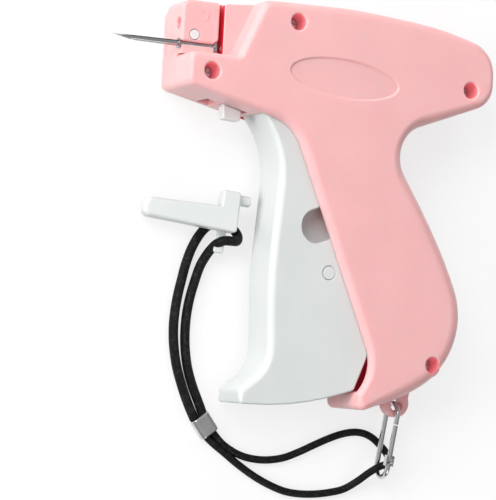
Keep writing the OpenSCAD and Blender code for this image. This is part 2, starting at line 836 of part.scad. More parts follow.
// A round wire wound along x between two flat ends
module coil(at, r, wire, x0, x1, turns) {
    rings = 8;
    sides = 6;
    count = turns * rings;
    function at_angle(a, x) = [x, at[0] + r * cos(a), at[1] + r * sin(a)];
    function middle(k) = at_angle(360 * k / rings, x0 + wire + (x1 - x0 - 2 * wire) * k / count);
    function ring(k) =
        let (a = 360 * k / rings, out = [0, cos(a), sin(a)])
        [for (s = [0:sides - 1])
            let (b = 360 * s / sides) middle(k) + wire * (cos(b) * out + sin(b) * [1, 0, 0])];
    least = (x1 - x0 - 2 * wire) / turns - 2 * wire;
    echo("least gap between curls", least);
    skin([for (k = [0:count]) ring(k)]);
}

spring_x0 = drive_at[0] + carriage_half;
spring_x1 = rear_reach - 13;
spring_y = 3.2;
spring_z = 10;

module return_spring() {
    color(steel)
        coil([spring_y, spring_z], 2.2, 0.35, spring_x0 + 0.1, spring_x1 - 0.1, 9);
}

// Feed

feed_axle_r = 1.5;
feed_axle_top = pocket_z - 0.7;

module feed_wheel() {
    root = feed_r - 1.5;
    step = 360 / feed_teeth;
    color(white)
        difference() {
            plate([
                for (k = [0:feed_teeth - 1])
                    for (p = [[root, 0.1], [root, 0.3], [feed_r, 0.9], [feed_r, 1]])
                        feed_at + p[0] * [cos(step * (k + p[1])), sin(step * (k + p[1]))]
            ], feed_z[0], feed_z[1]);
            rod(feed_at, feed_axle_r + pin_clear, 0, case_t);
        }
}

module feed_axle() {
    color(steel)
        rod(feed_at, feed_axle_r - 0.01, seat, feed_axle_top);
}

pawl_pin_r = 1.2;
pawl_z = [lever_slot_z[0] + 0.2, lever_slot_z[0] + 2.8];

module feed_pawl() {
    tip = [feed_at[0] + feed_r + 0.5, feed_at[1] - 0.6];
    color(white)
        difference() {
            union() {
                rod(pawl_at, 2.2, pawl_z[0], pawl_z[1]);
                plate([
                    pawl_at + [-1, 0], pawl_at + [1.2, 0], [tip[0] + 1.2, -2], [tip[0] + 1, tip[1]],
                    tip, [tip[0] - 0.2, -2]
                ], pawl_z[0], pawl_z[1]);
            }
            rod(pawl_at, pawl_pin_r + pin_clear, 0, case_t);
        }
}

module pawl_pin() {
    color(steel)
        rod(pawl_at, pawl_pin_r - 0.01, trigger_z[0] + 0.4, pawl_z[1]);
}

check_root = [17.6, 9.2];
check_anchor_hi = [check_root[0] + 1.2, check_root[1] + 0.6, 9.6];

module check_spring() {
    reach = feed_r + 0.3;
    tip = feed_at + reach * [cos(38), sin(38)];
    color(steel)
        plate([
            check_root + [-0.6, -1.6], check_root + [-0.2, -1.6], check_root + [-0.2, 0.6],
            tip + [0.2, 0.5], tip, check_root + [-0.6, 0]
        ], 6.4, 9.4);
}

// Release button

module release_button() {
    flange_down = -rim_wall - part_gap;
    front = under(0, part_gap);
    rear = under(button_l, part_gap);
    foot_y = front[1] - button_h;
    pad = [
        [front[0], front[1], 0.6, 0.5], [front[0] + 0.2, foot_y, 1, 0.5],
        [rear[0], foot_y - 0.4, 1, 0.5], [rear[0], rear[1], 0.6, 0.5]
    ];
    color(white) {
        pebble(pad, button_z - button_w / 2, button_z + button_w / 2);
        plate(under_box(0.4, 0.4 + stem_l, flange_down, 1), button_z - stem_w / 2, button_z + stem_w / 2);
        plate(under_box(-0.6, flange_end, flange_down - 1.4, flange_down), button_z - 2.8, button_z + 2.8);
        // latch finger
        plate([
            under(0.6, flange_down - 1), under(3.8, flange_down - 1), [5.2, -11], [0.8, -5.6], [-2.9, -3.6],
            [-2.9, -2.3], [-4.6, -2.3], [-4.6, -4.3], [-0.9, -7.4]
        ], button_z - 2.7, button_z - 0.3);
    }
}

module button_spring() {
    at = under(0, -rim_wall - part_gap - 0.7);
    reach = button_wall - flange_end;
    color(steel)
        translate([at[0], at[1], button_z])
            rotate([0, 0, slope])
                coil([0, 0], 0.9, 0.15, flange_end + 0.1, flange_end + reach - 0.1, 4);
}

// Lanyard

clip_lean = -4;
clip_droop = 9;
apex = 0.5;

// Hangs the clip in the lug: its x runs away from the lug, its y towards the left side
module clip_frame() {
    translate([lug_hole[0], lug_hole[1], lug_z + lug_t / 2])
        rotate([clip_droop, 0, clip_lean])
            rotate([90, 0, -90])
                children();
}

gate_u = [6.5, 18.5];
ear = [1.05, 1.5];

module carabiner() {
    bend = clip_w / 2;
    color(steel)
        clip_frame() {
            for (end = [0, 1])
                translate([end == 0 ? bend - apex : clip_l - bend - apex, 0, 0])
                    rotate([0, 0, end == 0 ? 90 : -90])
                        rotate_extrude(angle = 180)
                            translate([bend, 0])
                                circle(wire_r, $fn = 24);
            bar(-bend, bend - apex, clip_l - bend - apex, wire_r);
            bar(bend, bend - apex, gate_u[0] - 0.4, wire_r);
            bar(bend, gate_u[1] + 1.4, clip_l - bend - apex, wire_r);
            for (side = [-1, 1])
                difference() {
                    translate([gate_u[1] - 1.3, bend - 0.9, side > 0 ? ear[0] : -ear[1]])
                        cube([3.6, 1.8, ear[1] - ear[0]]);
                    gate_hole(gate_pin_r, bend);
                }
            // blocks that carry the ears on the wire
            for (side = [-1, 1])
                translate([gate_u[1] + 1.5, bend - 0.6, side > 0 ? 0.3 : -ear[0] - eps])
                    cube([0.8, 1.2, ear[0] - 0.3 + eps]);
        }
}

gate_pin_r = 0.45;

module bar(y, x0, x1, r) {
    translate([x0, y, 0])
        rotate([0, 90, 0])
            cylinder(r = r, h = x1 - x0, $fn = 24);
}

module gate_hole(r, y) {
    translate([gate_u[1], y, -5])
        cylinder(r = r, h = 10, $fn = 24);
}

module carabiner_gate() {
    color(steel)
        clip_frame()
            difference() {
                union() {
                    bar(clip_w / 2, gate_u[0], gate_u[1], wire_r);
                    translate([gate_u[1], clip_w / 2, 0.2 - ear[0]])
                        cylinder(r = wire_r + 0.15, h = 2 * ear[0] - 0.4, $fn = 24);
                }
                gate_hole(gate_pin_r + pin_clear, clip_w / 2);
            }
}

module gate_pin() {
    color(steel)
        clip_frame()
            translate([gate_u[1], clip_w / 2, -ear[1] - 0.1])
                cylinder(r = gate_pin_r - 0.01, h = 2 * ear[1] + 0.2, $fn = 24);
}

ferrule_top = [5.4, -123.3];
ferrule_dir = unit([4.4, -5.75]);
ferrule_side = [-ferrule_dir[1], ferrule_dir[0]];
ferrule_end = ferrule_top + ferrule_dir * ferrule_l;
ferrule_h = cap_cord_d + 0.6;
strand_gap = 0.2;

module ferrule() {
    flat = cap_cord_d + strand_gap;
    color(steel)
        translate([ferrule_top[0], ferrule_top[1], ferrule_h / 2])
            rotate([0, 0, heading(ferrule_dir)])
                rotate([90, 0, 90])
                    linear_extrude(ferrule_l) {
                        translate([-flat / 2, 0])
                            circle(ferrule_h / 2);
                        translate([flat / 2, 0])
                            circle(ferrule_h / 2);
                        square([flat, ferrule_h], center = true);
                    }
}

// A cord laid along points, as one tube of eight sides
module cord(points, d) {
    sides = 8;
    n = len(points);
    function along(i) = unit(points[min(n - 1, i + 1)] - points[max(0, i - 1)]);
    function across(i) = unit(cross(along(i), [0, 0, 1]));
    function ring(i) = [
        for (s = [0:sides - 1])
            let (a = 360 * (s + 0.5) / sides)
            points[i] + d / 2 * (cos(a) * across(i) + sin(a) * cross(along(i), across(i)))
    ];
    skin([for (i = [n - 1:-1:0]) ring(i)]);
}

// Cord routes: points without a height lie on the table
function laid(points, z) = [for (p = points) len(p) == 2 ? [p[0], p[1], z] : p];
clip_z = clip_cord_d / 2;
clip_start = ferrule_end + ferrule_side * (clip_cord_d + strand_gap) / 2;
clip_finish = ferrule_end - ferrule_side * (clip_cord_d + strand_gap) / 2;
clip_route = laid([
    clip_start, [13.5, -131], [16, -133], [20.5, -135.4], [25.5, -136.8], [31.5, -137.2], [38, -136.3],
    [44, -134.1], [49.5, -131.6], [55.5, -129], [60.5, -127.3], [65, -126.5], [69, -126.8], [72.5, -128.2],
    [75.5, -130.5, clip_z + 0.1], [77.4, -132.8, 2.4], [77.8, -135.2, 4.2], [76.2, -137, 5.6],
    [73.4, -138, 5.9], [70.2, -140.2, 4.7], [66.5, -143.6, 2.6], [62, -146.4, clip_z + 0.1],
    [56.5, -147.7], [50.5, -148.4], [44.5, -148.4], [39, -147.6], [33, -145.5], [27, -142.6], [21, -138.9],
    [15.5, -135], [11.5, -132.2], clip_finish
], clip_z);
cap_z = cap_cord_d / 2;
cap_start = ferrule_top - ferrule_side * (cap_cord_d + strand_gap) / 2;
cap_finish = ferrule_top + ferrule_side * (cap_cord_d + strand_gap) / 2;
cap_route = laid([
    cap_start, [1.2, -119], [-1.4, -113], [-3.6, -106.7], [-5, -100], [-5.5, -94], [-5.3, -88.5],
    [-4.6, -83], [-3.5, -77.6], [-2.3, -72.3], [-0.6, -67.2], [1.6, -62.9], [4.2, -59.6], [7.4, -57.6],
    [11, -57.3],
    [14, -58.8, 1.9], [15.6, -61.4, 3.3], [14.4, -63.4, 5.7], [11.6, -63.7, 7.6], [8.8, -63.8, 7.4],
    [6.9, -65, 5.4], [5.4, -67.4, 3.4], [4, -70.4, 2], [2.7, -73.4], [1.3, -78], [0, -83], [-0.9, -88.5],
    [-1.2, -94], [-0.9, -100], [0.3, -106.7], [2.4, -112.8], [5, -118.4], cap_finish
], cap_z);

module clip_loop_cord() {
    color(black)
        cord(clip_route, clip_cord_d);
}

module cap_loop_cord() {
    color(black)
        cord(cap_route, cap_cord_d);
}

// Needle cap, drawn flat and then leant on the cord under it

cap_tip = [-19.5, -54];
cap_turn = -5;
cap_lean = 8.6;
cap_front_h = 6.4;
cap_rear_h = 8.6;
cap_block_l = 6.4;
cap_block_h = 5.2;
peg_l = 4;
peg_rise = socket_at[0];

module needle_cap() {
    arm = [
        [0, -cap_front_h / 2, 2.8, 1.6], [cap_l, -cap_rear_h / 2, 0.8, 0.8],
        [cap_l, cap_rear_h / 2, 0.6, 0.8], [0, cap_front_h / 2, 2.8, 1.6]
    ];
    top = [
        [cap_l - cap_block_l, 0, 0.5, 0.8], [cap_l, 0, 0.5, 0.8],
        [cap_l, cap_rear_h / 2 + cap_block_h, 1.2, 0.8],
        [cap_l - cap_block_l, cap_rear_h / 2 + cap_block_h, 1.2, 0.8]
    ];
    hook_y = -cap_rear_h / 2 - 7.4;
    color(pale)
        translate([cap_tip[0], cap_tip[1], 0])
            rotate([0, -cap_lean, cap_turn])
                difference() {
                    union() {
                        pebble(arm, 0, cap_t);
                        pebble(top, 0, cap_t);
                        translate([cap_l - 1, peg_rise, cap_t / 2])
                            rotate([0, 90, 0])
                                cylinder(r = peg_r, h = peg_l + 1);
                        // hook that the cord wraps round
                        plate([
                            [cap_l - 5.6, -cap_rear_h / 2 + 1], [cap_l - 5.6, hook_y + 2],
                            [cap_l - 7.4, hook_y + 2], [cap_l - 7.4, hook_y + 0.6], [cap_l - 6.6, hook_y],
                            [cap_l - 3, hook_y], [cap_l - 2.6, hook_y + 1],
                            [cap_l - 2.6, -cap_rear_h / 2 + 1]
                        ], 0.3, 2.4);
                    }
                    translate([cap_l - 27, 0, cap_t / 2])
                        rotate([0, 90, 0])
                            cylinder(r = cap_bore_r, h = 28);
                }
}

place() right_case();
place() left_case();
place() case_screws();
place() nose_block();
place() nose_pin();
place() needle();
place() needle_hub();
place() cutter_blade();
place() trigger();
place() trigger_pivot_pins();
place() link_pin();
place() drive_lever();
place() fulcrum_pin();
place() slide_carriage();
place() drive_pin();
place() ejector_rod();
place() rod_guide();
place() return_spring();
place() feed_wheel();
place() feed_axle();
place() feed_pawl();
place() pawl_pin();
place() check_spring();
place() release_button();
place() button_spring();
place() carabiner();
place() carabiner_gate();
place() gate_pin();
place() ferrule();
place() clip_loop_cord();
place() cap_loop_cord();
place() needle_cap();
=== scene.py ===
import json
import math

import bpy
from mathutils import Matrix, Vector


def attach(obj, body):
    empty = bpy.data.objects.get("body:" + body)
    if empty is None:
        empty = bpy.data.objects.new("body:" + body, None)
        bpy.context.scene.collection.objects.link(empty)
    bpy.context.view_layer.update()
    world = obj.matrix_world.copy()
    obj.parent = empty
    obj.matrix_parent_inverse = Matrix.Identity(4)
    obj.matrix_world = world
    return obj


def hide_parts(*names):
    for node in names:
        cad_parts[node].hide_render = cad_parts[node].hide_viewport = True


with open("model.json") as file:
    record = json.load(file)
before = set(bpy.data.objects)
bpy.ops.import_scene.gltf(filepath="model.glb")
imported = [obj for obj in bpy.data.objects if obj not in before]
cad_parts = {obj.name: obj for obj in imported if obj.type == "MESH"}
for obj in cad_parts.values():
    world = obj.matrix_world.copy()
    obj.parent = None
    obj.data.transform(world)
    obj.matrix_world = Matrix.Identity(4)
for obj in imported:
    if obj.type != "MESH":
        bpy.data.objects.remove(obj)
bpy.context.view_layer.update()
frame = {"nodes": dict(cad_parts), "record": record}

# The side view is drawn in millimetres from the needle's axis at the fastener slot:
# x runs to the rear, y to the top of the barrel, z up from the table.
# The part's origin lies at SIDE_X, SIDE_Y in that view.
SIDE_X, SIDE_Y = 31.9, -51.6
MM = 0.001
CORNER_STEP = 4.0  # degrees of a rounded corner to each of its points
EDGE_STEPS = 8  # rings in a rounded edge
SENSOR = 36
FOCAL_PIXELS = 2140
IMAGE_WIDTH = 496

scene = bpy.context.scene
scene.view_settings.view_transform = "Standard"


def spot(x, y, z=0.0):
    """A place in the side view, in the part's frame."""
    return Vector((x - SIDE_X, y - SIDE_Y, z)) * MM


# ---------------------------------------------------------------- camera and light

def spread(tree, value, low, high, a, b):
    node = tree.nodes.new("ShaderNodeMapRange")
    for key, number in (("From Min", low), ("From Max", high), ("To Min", a), ("To Max", b)):
        node.inputs[key].default_value = number
    tree.links.new(value, node.inputs["Value"])
    return node.outputs["Result"]


camera = bpy.data.objects.new("camera", bpy.data.cameras.new("camera"))
scene.collection.objects.link(camera)
right = Vector((0.904511, 0.052806, 0.423168))
up = Vector((-0.071865, 0.996987, 0.029199))
back = Vector((-0.420352, -0.056821, 0.905580))
view = Matrix((right, up, back)).transposed().to_4x4()
view.translation = spot(-287.114, -107.469, 664.521)
camera.matrix_world = view
camera.data.sensor_fit = "HORIZONTAL"
camera.data.sensor_width = SENSOR
camera.data.lens = SENSOR * FOCAL_PIXELS / IMAGE_WIDTH
camera.data.clip_start = 0.01
scene.camera = camera


def area_light(name, place, target, size, power, mirrored=True):
    """A round lamp that faces a target; one that isn't mirrored lights surfaces without a reflection in them."""
    lamp = bpy.data.lights.new(name, "AREA")
    lamp.shape = "DISK"
    lamp.size = size
    lamp.energy = power
    holder = bpy.data.objects.new(name, lamp)
    holder.location = place
    holder.visible_glossy = mirrored
    holder.rotation_euler = (Vector(target) - Vector(place)).to_track_quat("-Z", "Y").to_euler()
    scene.collection.objects.link(holder)


area_light("key", (-0.68, 0.52, 0.76), (0.0, 0.0, 0.0), 0.6, 5.6)
# The two low lamps would otherwise glare in the upper side from the views across them.
area_light("strip", (-0.9, 0.0, 0.32), (0.0, -0.02, 0.01), 0.5, 5.8, mirrored=False)
area_light("top", (0.1, 0.9, 0.32), (0.0, 0.0, 0.01), 0.5, 3.2, mirrored=False)
area_light("fill", (0.2, -0.8, 0.6), (0.0, 0.0, 0.0), 0.5, 1.5)

# The world is a plain studio: a soft sky that is brightest above and towards the key.
world = bpy.data.worlds.new("studio")
scene.world = world
world.use_nodes = True
SKY_BRIGHTEST = (-0.5, 0.4, 0.77)
SKY_LEAST, SKY_MOST = 0.03, 0.6
wn = world.node_tree.nodes
wl = world.node_tree.links
wn.clear()
lean = wn.new("ShaderNodeVectorMath")
lean.operation = "DOT_PRODUCT"
lean.inputs[1].default_value = SKY_BRIGHTEST
wl.new(wn.new("ShaderNodeTexCoord").outputs["Generated"], lean.inputs[0])
sky = wn.new("ShaderNodeBackground")
sky.inputs["Color"].default_value = (1.0, 1.0, 1.0, 1.0)
wl.new(spread(world.node_tree, lean.outputs["Value"], -0.6, 1.0, SKY_LEAST, SKY_MOST), sky.inputs["Strength"])
wl.new(sky.outputs[0], wn.new("ShaderNodeOutputWorld").inputs["Surface"])


# ---------------------------------------------------------------- materials

def new_material(name):
    mat = bpy.data.materials.new(name)
    mat.use_nodes = True
    tree = mat.node_tree
    tree.nodes.clear()
    out = tree.nodes.new("ShaderNodeOutputMaterial")
    bsdf = tree.nodes.new("ShaderNodeBsdfPrincipled")
    tree.links.new(bsdf.outputs[0], out.inputs["Surface"])
    return mat, tree, bsdf


def noise(tree, vector, scale, detail=3.0):
    node = tree.nodes.new("ShaderNodeTexNoise")
    node.inputs["Scale"].default_value = scale
    node.inputs["Detail"].default_value = detail
    tree.links.new(vector, node.inputs["Vector"])
    return node.outputs["Fac"]


def ramp(tree, fac, low, high, a, b):
    node = tree.nodes.new("ShaderNodeValToRGB")
    node.color_ramp.elements[0].position = low
    node.color_ramp.elements[1].position = high
    node.color_ramp.elements[0].color = (*a, 1.0)
    node.color_ramp.elements[1].color = (*b, 1.0)
    tree.links.new(fac, node.inputs["Fac"])
    return node.outputs["Color"]


def bump(tree, height, strength, distance):
    node = tree.nodes.new("ShaderNodeBump")
    node.inputs["Strength"].default_value = strength
    node.inputs["Distance"].default_value = distance
    tree.links.new(height, node.inputs["Height"])
    return node.outputs["Normal"]


def blend(tree, share, a, b):
    """Colour socket a, turning to the colour b by a share."""
    node = tree.nodes.new("ShaderNodeMix")
    node.data_type = "RGBA"
    tree.links.new(share, node.inputs["Factor"])
    tree.links.new(a, node.inputs["A"])
    node.inputs["B"].default_value = (*b, 1.0)
    return node.outputs["Result"]


def shade(color, share):
    return tuple(min(1.0, c * share) for c in color)


def moulded(name, color, rough, worn=None, soft=0.0):
    """Moulded plastic: slow flow clouds in its colour, a fine skin, and paler rubbed edges.

    soft is the share of the light that spreads within it, red the farthest. With it the hollows get painted shade,
    a deep red, and a painted glow that stands for light from the walls; an attribute of the mesh says where.
    """
    mat, tree, bsdf = new_material(name)
    place = tree.nodes.new("ShaderNodeTexCoord").outputs["Object"]
    clouds = noise(tree, place, scale=55.0, detail=4.0)
    skin = noise(tree, place, scale=1600.0, detail=2.0)
    base = ramp(tree, clouds, 0.3, 0.7, shade(color, 0.965), shade(color, 1.02))
    edges = tree.nodes.new("ShaderNodeNewGeometry").outputs["Pointiness"]
    rubbed = spread(tree, edges, 0.52, 0.6, 0.0, 0.35)
    skin_color = blend(tree, rubbed, base, worn or shade(color, 1.08))
    if soft:
        # Painted shade and painted glow in the hollows, where the mesh's attribute says.
        shade_mask = tree.nodes.new("ShaderNodeAttribute")
        shade_mask.attribute_name = "inside"
        skin_color = blend(tree, shade_mask.outputs["Fac"], skin_color, HOLLOW_SHADE_PINK)
        painted_glow = tree.nodes.new("ShaderNodeValToRGB")
        painted_glow.color_ramp.elements[0].color = (0.0, 0.0, 0.0, 1.0)
        painted_glow.color_ramp.elements[1].color = (*PAINTED_GLOW_WALLS, 1.0)
        painted_glow.color_ramp.elements.new(RECESS_SHADE_SHARE).color = (*PAINTED_GLOW_RECESS, 1.0)
        tree.links.new(shade_mask.outputs["Fac"], painted_glow.inputs["Fac"])
        tree.links.new(painted_glow.outputs["Color"], bsdf.inputs["Emission Color"])
        bsdf.inputs["Emission Strength"].default_value = 1.0
    tree.links.new(skin_color, bsdf.inputs["Base Color"])
    tree.links.new(spread(tree, skin, 0.3, 0.7, rough - 0.05, rough + 0.06), bsdf.inputs["Roughness"])
    tree.links.new(bump(tree, skin, 0.12, 0.00004), bsdf.inputs["Normal"])
    bsdf.inputs["Specular IOR Level"].default_value = 0.5
    if soft:
        bsdf.inputs["Subsurface Weight"].default_value = soft
        bsdf.inputs["Subsurface Radius"].default_value = (1.0, 0.22, 0.2)
        bsdf.inputs["Subsurface Scale"].default_value = 0.006
    return mat


def metal(name, color, rough, streak=(1.0, 1.0, 1.0), scale=900.0, strength=0.15):
    """Metal with fine marks drawn out along one direction, and a little tarnish."""
    mat, tree, bsdf = new_material(name)
    place = tree.nodes.new("ShaderNodeTexCoord").outputs["Object"]
    stretch = tree.nodes.new("ShaderNodeMapping")
    stretch.inputs["Scale"].default_value = streak
    tree.links.new(place, stretch.inputs["Vector"])
    marks = noise(tree, stretch.outputs["Vector"], scale, detail=4.0)
    clouds = noise(tree, place, scale=240.0)
    base = ramp(tree, clouds, 0.3, 0.72, shade(color, 0.86), color)
    tree.links.new(base, bsdf.inputs["Base Color"])
    tree.links.new(spread(tree, marks, 0.3, 0.7, rough - 0.06, rough + 0.09), bsdf.inputs["Roughness"])
    tree.links.new(bump(tree, marks, strength, 0.00003), bsdf.inputs["Normal"])
    bsdf.inputs["Metallic"].default_value = 1.0
    return mat


def braided(name):
    """Black braid: yarns of two hands cross along the tube, with painted shade darkening the colour between them, and a
    few paler ones.
    """
    mat, tree, bsdf = new_material(name)
    uv = tree.nodes.new("ShaderNodeUVMap")
    uv.uv_map = "yarn"
    part = tree.nodes.new("ShaderNodeSeparateXYZ")
    tree.links.new(uv.outputs["UV"], part.inputs[0])

    def math_node(way, a, b):
        node = tree.nodes.new("ShaderNodeMath")
        node.operation = way
        for socket, value in zip(node.inputs, (a, b)):
            if isinstance(value, float):
                socket.default_value = value
            else:
                tree.links.new(value, socket)
        return node.outputs[0]

    hands = []
    for way in ("ADD", "SUBTRACT"):
        turned = math_node(way, part.outputs["Y"], part.outputs["X"])
        hands.append(math_node("COSINE", math_node("MULTIPLY", turned, math.tau), 0.0))
    crown = math_node("MAXIMUM", hands[0], hands[1])
    place = tree.nodes.new("ShaderNodeTexCoord").outputs["Object"]
    fibre = noise(tree, place, scale=5200.0)
    cells = tree.nodes.new("ShaderNodeTexVoronoi")
    cells.inputs["Scale"].default_value = 1.0
    tree.links.new(uv.outputs["UV"], cells.inputs["Vector"])
    fleck = spread(tree, cells.outputs["Color"], 0.66, 0.8, 0.0, 0.55)
    # Painted shade: the colour is darker between the yarns' crowns than on them; the flecks are paler yarns.
    yarn_shade_and_flecks = math_node("MULTIPLY", math_node("ADD", spread(tree, crown, -0.2, 1.0, 0.0, 0.3), fleck), fibre)
    base = ramp(tree, yarn_shade_and_flecks, 0.0, 0.6, (0.0015, 0.0015, 0.002), (0.03, 0.0295, 0.03))
    tree.links.new(base, bsdf.inputs["Base Color"])
    tree.links.new(spread(tree, fibre, 0.2, 0.8, 0.48, 0.7), bsdf.inputs["Roughness"])
    tree.links.new(bump(tree, fibre, 0.5, 0.00006), bsdf.inputs["Normal"])
    bsdf.inputs["Specular IOR Level"].default_value = 0.2
    return mat


PINK = (0.96, 0.5, 0.505)
# Painted shade: the deep red that the pink plastic is painted towards in its hollows, slot and screw recesses.
HOLLOW_SHADE_PINK = (0.78, 0.03, 0.055)
# How far a screw recess takes the painted shade of a hollow of the pink plastic, and the painted glow
# that stands for light from the walls, given to the hollow and to the recesses.
RECESS_SHADE_SHARE = 0.45
PAINTED_GLOW_WALLS = (0.035, 0.002, 0.005)
PAINTED_GLOW_RECESS = (0.17, 0.045, 0.055)
looks = {
    "case_pink": moulded("case_pink", PINK, 0.36, (0.97, 0.56, 0.56), soft=0.5),
    "pale_plastic": moulded("pale_plastic", (0.68, 0.71, 0.705), 0.33, (0.74, 0.76, 0.76)),
    "white_plastic": moulded("white_plastic", (0.76, 0.76, 0.755), 0.34, (0.82, 0.82, 0.82)),
    "cream_plastic": moulded("cream_plastic", (0.78, 0.68, 0.46), 0.45),
    "dark_plastic": moulded("dark_plastic", (0.05, 0.05, 0.055), 0.5, (0.1, 0.1, 0.1)),
    "needle_steel": metal("needle_steel", (0.5, 0.5, 0.51), 0.24, (0.06, 1.0, 1.0), 2600.0, 0.08),
    "screw_steel": metal("screw_steel", (0.55, 0.56, 0.58), 0.32),
    "bright_wire": metal("bright_wire", (0.7, 0.7, 0.715), 0.16, (1.0, 0.2, 1.0), 900.0, 0.02),
    "guide_brass": metal("guide_brass", (0.72, 0.52, 0.22), 0.3),
    "black_cord": braided("black_cord"),
}
slot_of = {row["node"]: row["material_slot"] for row in frame["record"]["subparts"]}
for name, node in frame["nodes"].items():
    node.data.materials.clear()
    node.data.materials.append(looks[slot_of[name]])


# ---------------------------------------------------------------- outlines and solids

def turn_at(c, i):
    """The angle that outline c turns by at corner i; its corners are (x, y, corner radius, edge rounding)."""
    before, here, after = c[i - 1], c[i], c[(i + 1) % len(c)]
    a = math.atan2(here[1] - before[1], here[0] - before[0])
    b = math.atan2(after[1] - here[1], after[0] - here[0])
    return (b - a + math.pi) % (2 * math.pi) - math.pi


def steps_of(c):
    """How many steps the arc at each corner takes."""
    return [max(1, math.ceil(abs(math.degrees(turn_at(c, i))) / CORNER_STEP)) for i in range(len(c))]


def inset(c, d):
    """The rounded-corner outline c, moved in by d[i] at corner i."""
    out = []
    for i in range(len(c)):
        p = Vector(c[i][:2])
        u = (p - Vector(c[i - 1][:2])).normalized()
        v = (Vector(c[(i + 1) % len(c)][:2]) - p).normalized()
        n1, n2 = Vector((-u.y, u.x)), Vector((-v.y, v.x))
        q = p + (n1 + n2) / (1 + n1.dot(n2)) * d[i]
        r = max(0.05, c[i][2] - math.copysign(1, turn_at(c, i)) * d[i])
        out.append((q.x, q.y, r, c[i][3]))
    return out


def arcs(c, steps, z):
    """The outline's points, each corner an arc, at height z[i]."""
    out = []
    for i in range(len(c)):
        p, r = Vector(c[i][:2]), c[i][2]
        u = (Vector(c[i - 1][:2]) - p).normalized()
        v = (Vector(c[(i + 1) % len(c)][:2]) - p).normalized()
        half = math.acos(max(-1, min(1, u.dot(v)))) / 2
        m = p + (u + v).normalized() * (r / math.sin(half))
        s, e = p + u * (r / math.tan(half)) - m, p + v * (r / math.tan(half)) - m
        a0 = math.atan2(s.y, s.x)
        sweep = (math.atan2(e.y, e.x) - a0 + math.pi) % (2 * math.pi) - math.pi
        for k in range(steps[i] + 1):
            a = a0 + sweep * k / steps[i]
            out.append((m.x + r * math.cos(a), m.y + r * math.sin(a), z[i]))
    return out


def edge_rings(c, steps, face, way):
    """Rings of a rounded edge, from the wall to the flat face at height face; way is 1 for an upper edge."""
    rings = []
    for k in range(EDGE_STEPS + 1):
        a = math.pi / 2 * k / EDGE_STEPS
        moved = inset(c, [q[3] * (1 - math.cos(a)) for q in c])
        rings.append(arcs(moved, steps, [face - way * q[3] * (1 - math.sin(a)) for q in c]))
    return rings


def flat_ring(c, steps, z, d):
    """The outline at height z, moved in by d."""
    return arcs(inset(c, [d] * len(c)), steps, [z] * len(c))


def solid(name, verts, faces):
    mesh = bpy.data.meshes.new(name)
    mesh.from_pydata([tuple(v) for v in verts], [], faces)
    mesh.validate()
    thing = bpy.data.objects.new(name, mesh)
    scene.collection.objects.link(thing)
    return thing


def tube_faces(count, n):
    """The sides between count rings of n points."""
    return [(k * n + i, k * n + (i + 1) % n, (k + 1) * n + (i + 1) % n, (k + 1) * n + i)
            for k in range(count - 1) for i in range(n)]


def loft(name, rings):
    """A solid through rings of equal length, counterclockwise seen from the far end."""
    n, count = len(rings[0]), len(rings)
    ends = [tuple(range(n - 1, -1, -1)), tuple((count - 1) * n + i for i in range(n))]
    return solid(name, [p for ring in rings for p in ring], tube_faces(count, n) + ends)


def slab(name, c, z0, z1, groove=0.0):
    """A plate with a rounded upper edge, and a chamfer of the groove's size round its foot."""
    steps = steps_of(c)
    rings = [flat_ring(c, steps, z0, groove)]
    if groove:
        rings.append(flat_ring(c, steps, z0 + groove, 0))
    return loft(name, rings + edge_rings(c, steps, z1, 1))


def pebble(name, c, z0, z1):
    """A plate with both edges rounded."""
    steps = steps_of(c)
    return loft(name, edge_rings(c, steps, z0, -1)[::-1] + edge_rings(c, steps, z1, 1))


def prism(name, points, z0, z1):
    return loft(name, [[(x, y, z0) for x, y in points], [(x, y, z1) for x, y in points]])


def block(name, lo, hi):
    return prism(name, [(lo[0], lo[1]), (hi[0], lo[1]), (hi[0], hi[1]), (lo[0], hi[1])], lo[2], hi[2])


def lathe(name, profile, at, sides=56):
    """A solid turned about z at a place; profile is (radius, height) from the bottom up."""
    rings = [
        [(at[0] + r * math.cos(math.tau * k / sides), at[1] + r * math.sin(math.tau * k / sides), z)
         for k in range(sides)]
        for r, z in profile
    ]
    return loft(name, rings)


def rod(name, profile, y, z, sides=40):
    """A lathe that lies along x, at y and z; profile is (radius, x)."""
    thing = lathe(name, profile, (0, 0), sides)
    thing.data.transform(Matrix.Translation((0, y, z)) @ Matrix.Rotation(math.pi / 2, 4, "Y"))
    return thing


def combine(target, tools, way):
    """Adds tools to target or cuts them from it, and removes them."""
    for k, tool in enumerate(tools):
        step = target.modifiers.new("step%d" % k, "BOOLEAN")
        step.operation = way
        step.solver = "MANIFOLD"
        step.object = tool
    shown = bpy.context.evaluated_depsgraph_get()
    made = bpy.data.meshes.new_from_object(target.evaluated_get(shown))
    target.modifiers.clear()
    target.data = made
    for tool in tools:
        bpy.data.objects.remove(tool)
    return target


def add(target, *tools):
    return combine(target, tools, "UNION")


def cut(target, *tools):
    return combine(target, tools, "DIFFERENCE")


def finish_piece(thing, slot, body, *nodes, sharp=30):
    """Moves a piece from side-view millimetres into the part's frame, and dresses it."""
    thing.data.transform(Matrix.Scale(MM, 4) @ Matrix.Translation((-SIDE_X, -SIDE_Y, 0)))
    thing.data.materials.clear()
    thing.data.materials.append(looks[slot])
    thing.data.shade_smooth()
    thing.data.set_sharp_from_angle(angle=math.radians(sharp))
    even = thing.modifiers.new("even", "WEIGHTED_NORMAL")
    even.keep_sharp = True
    even.weight = 60
    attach(thing, body)
    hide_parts(*nodes)
    return thing


# ---------------------------------------------------------------- cords

ROUTE_STEPS = 24  # between two points of a route


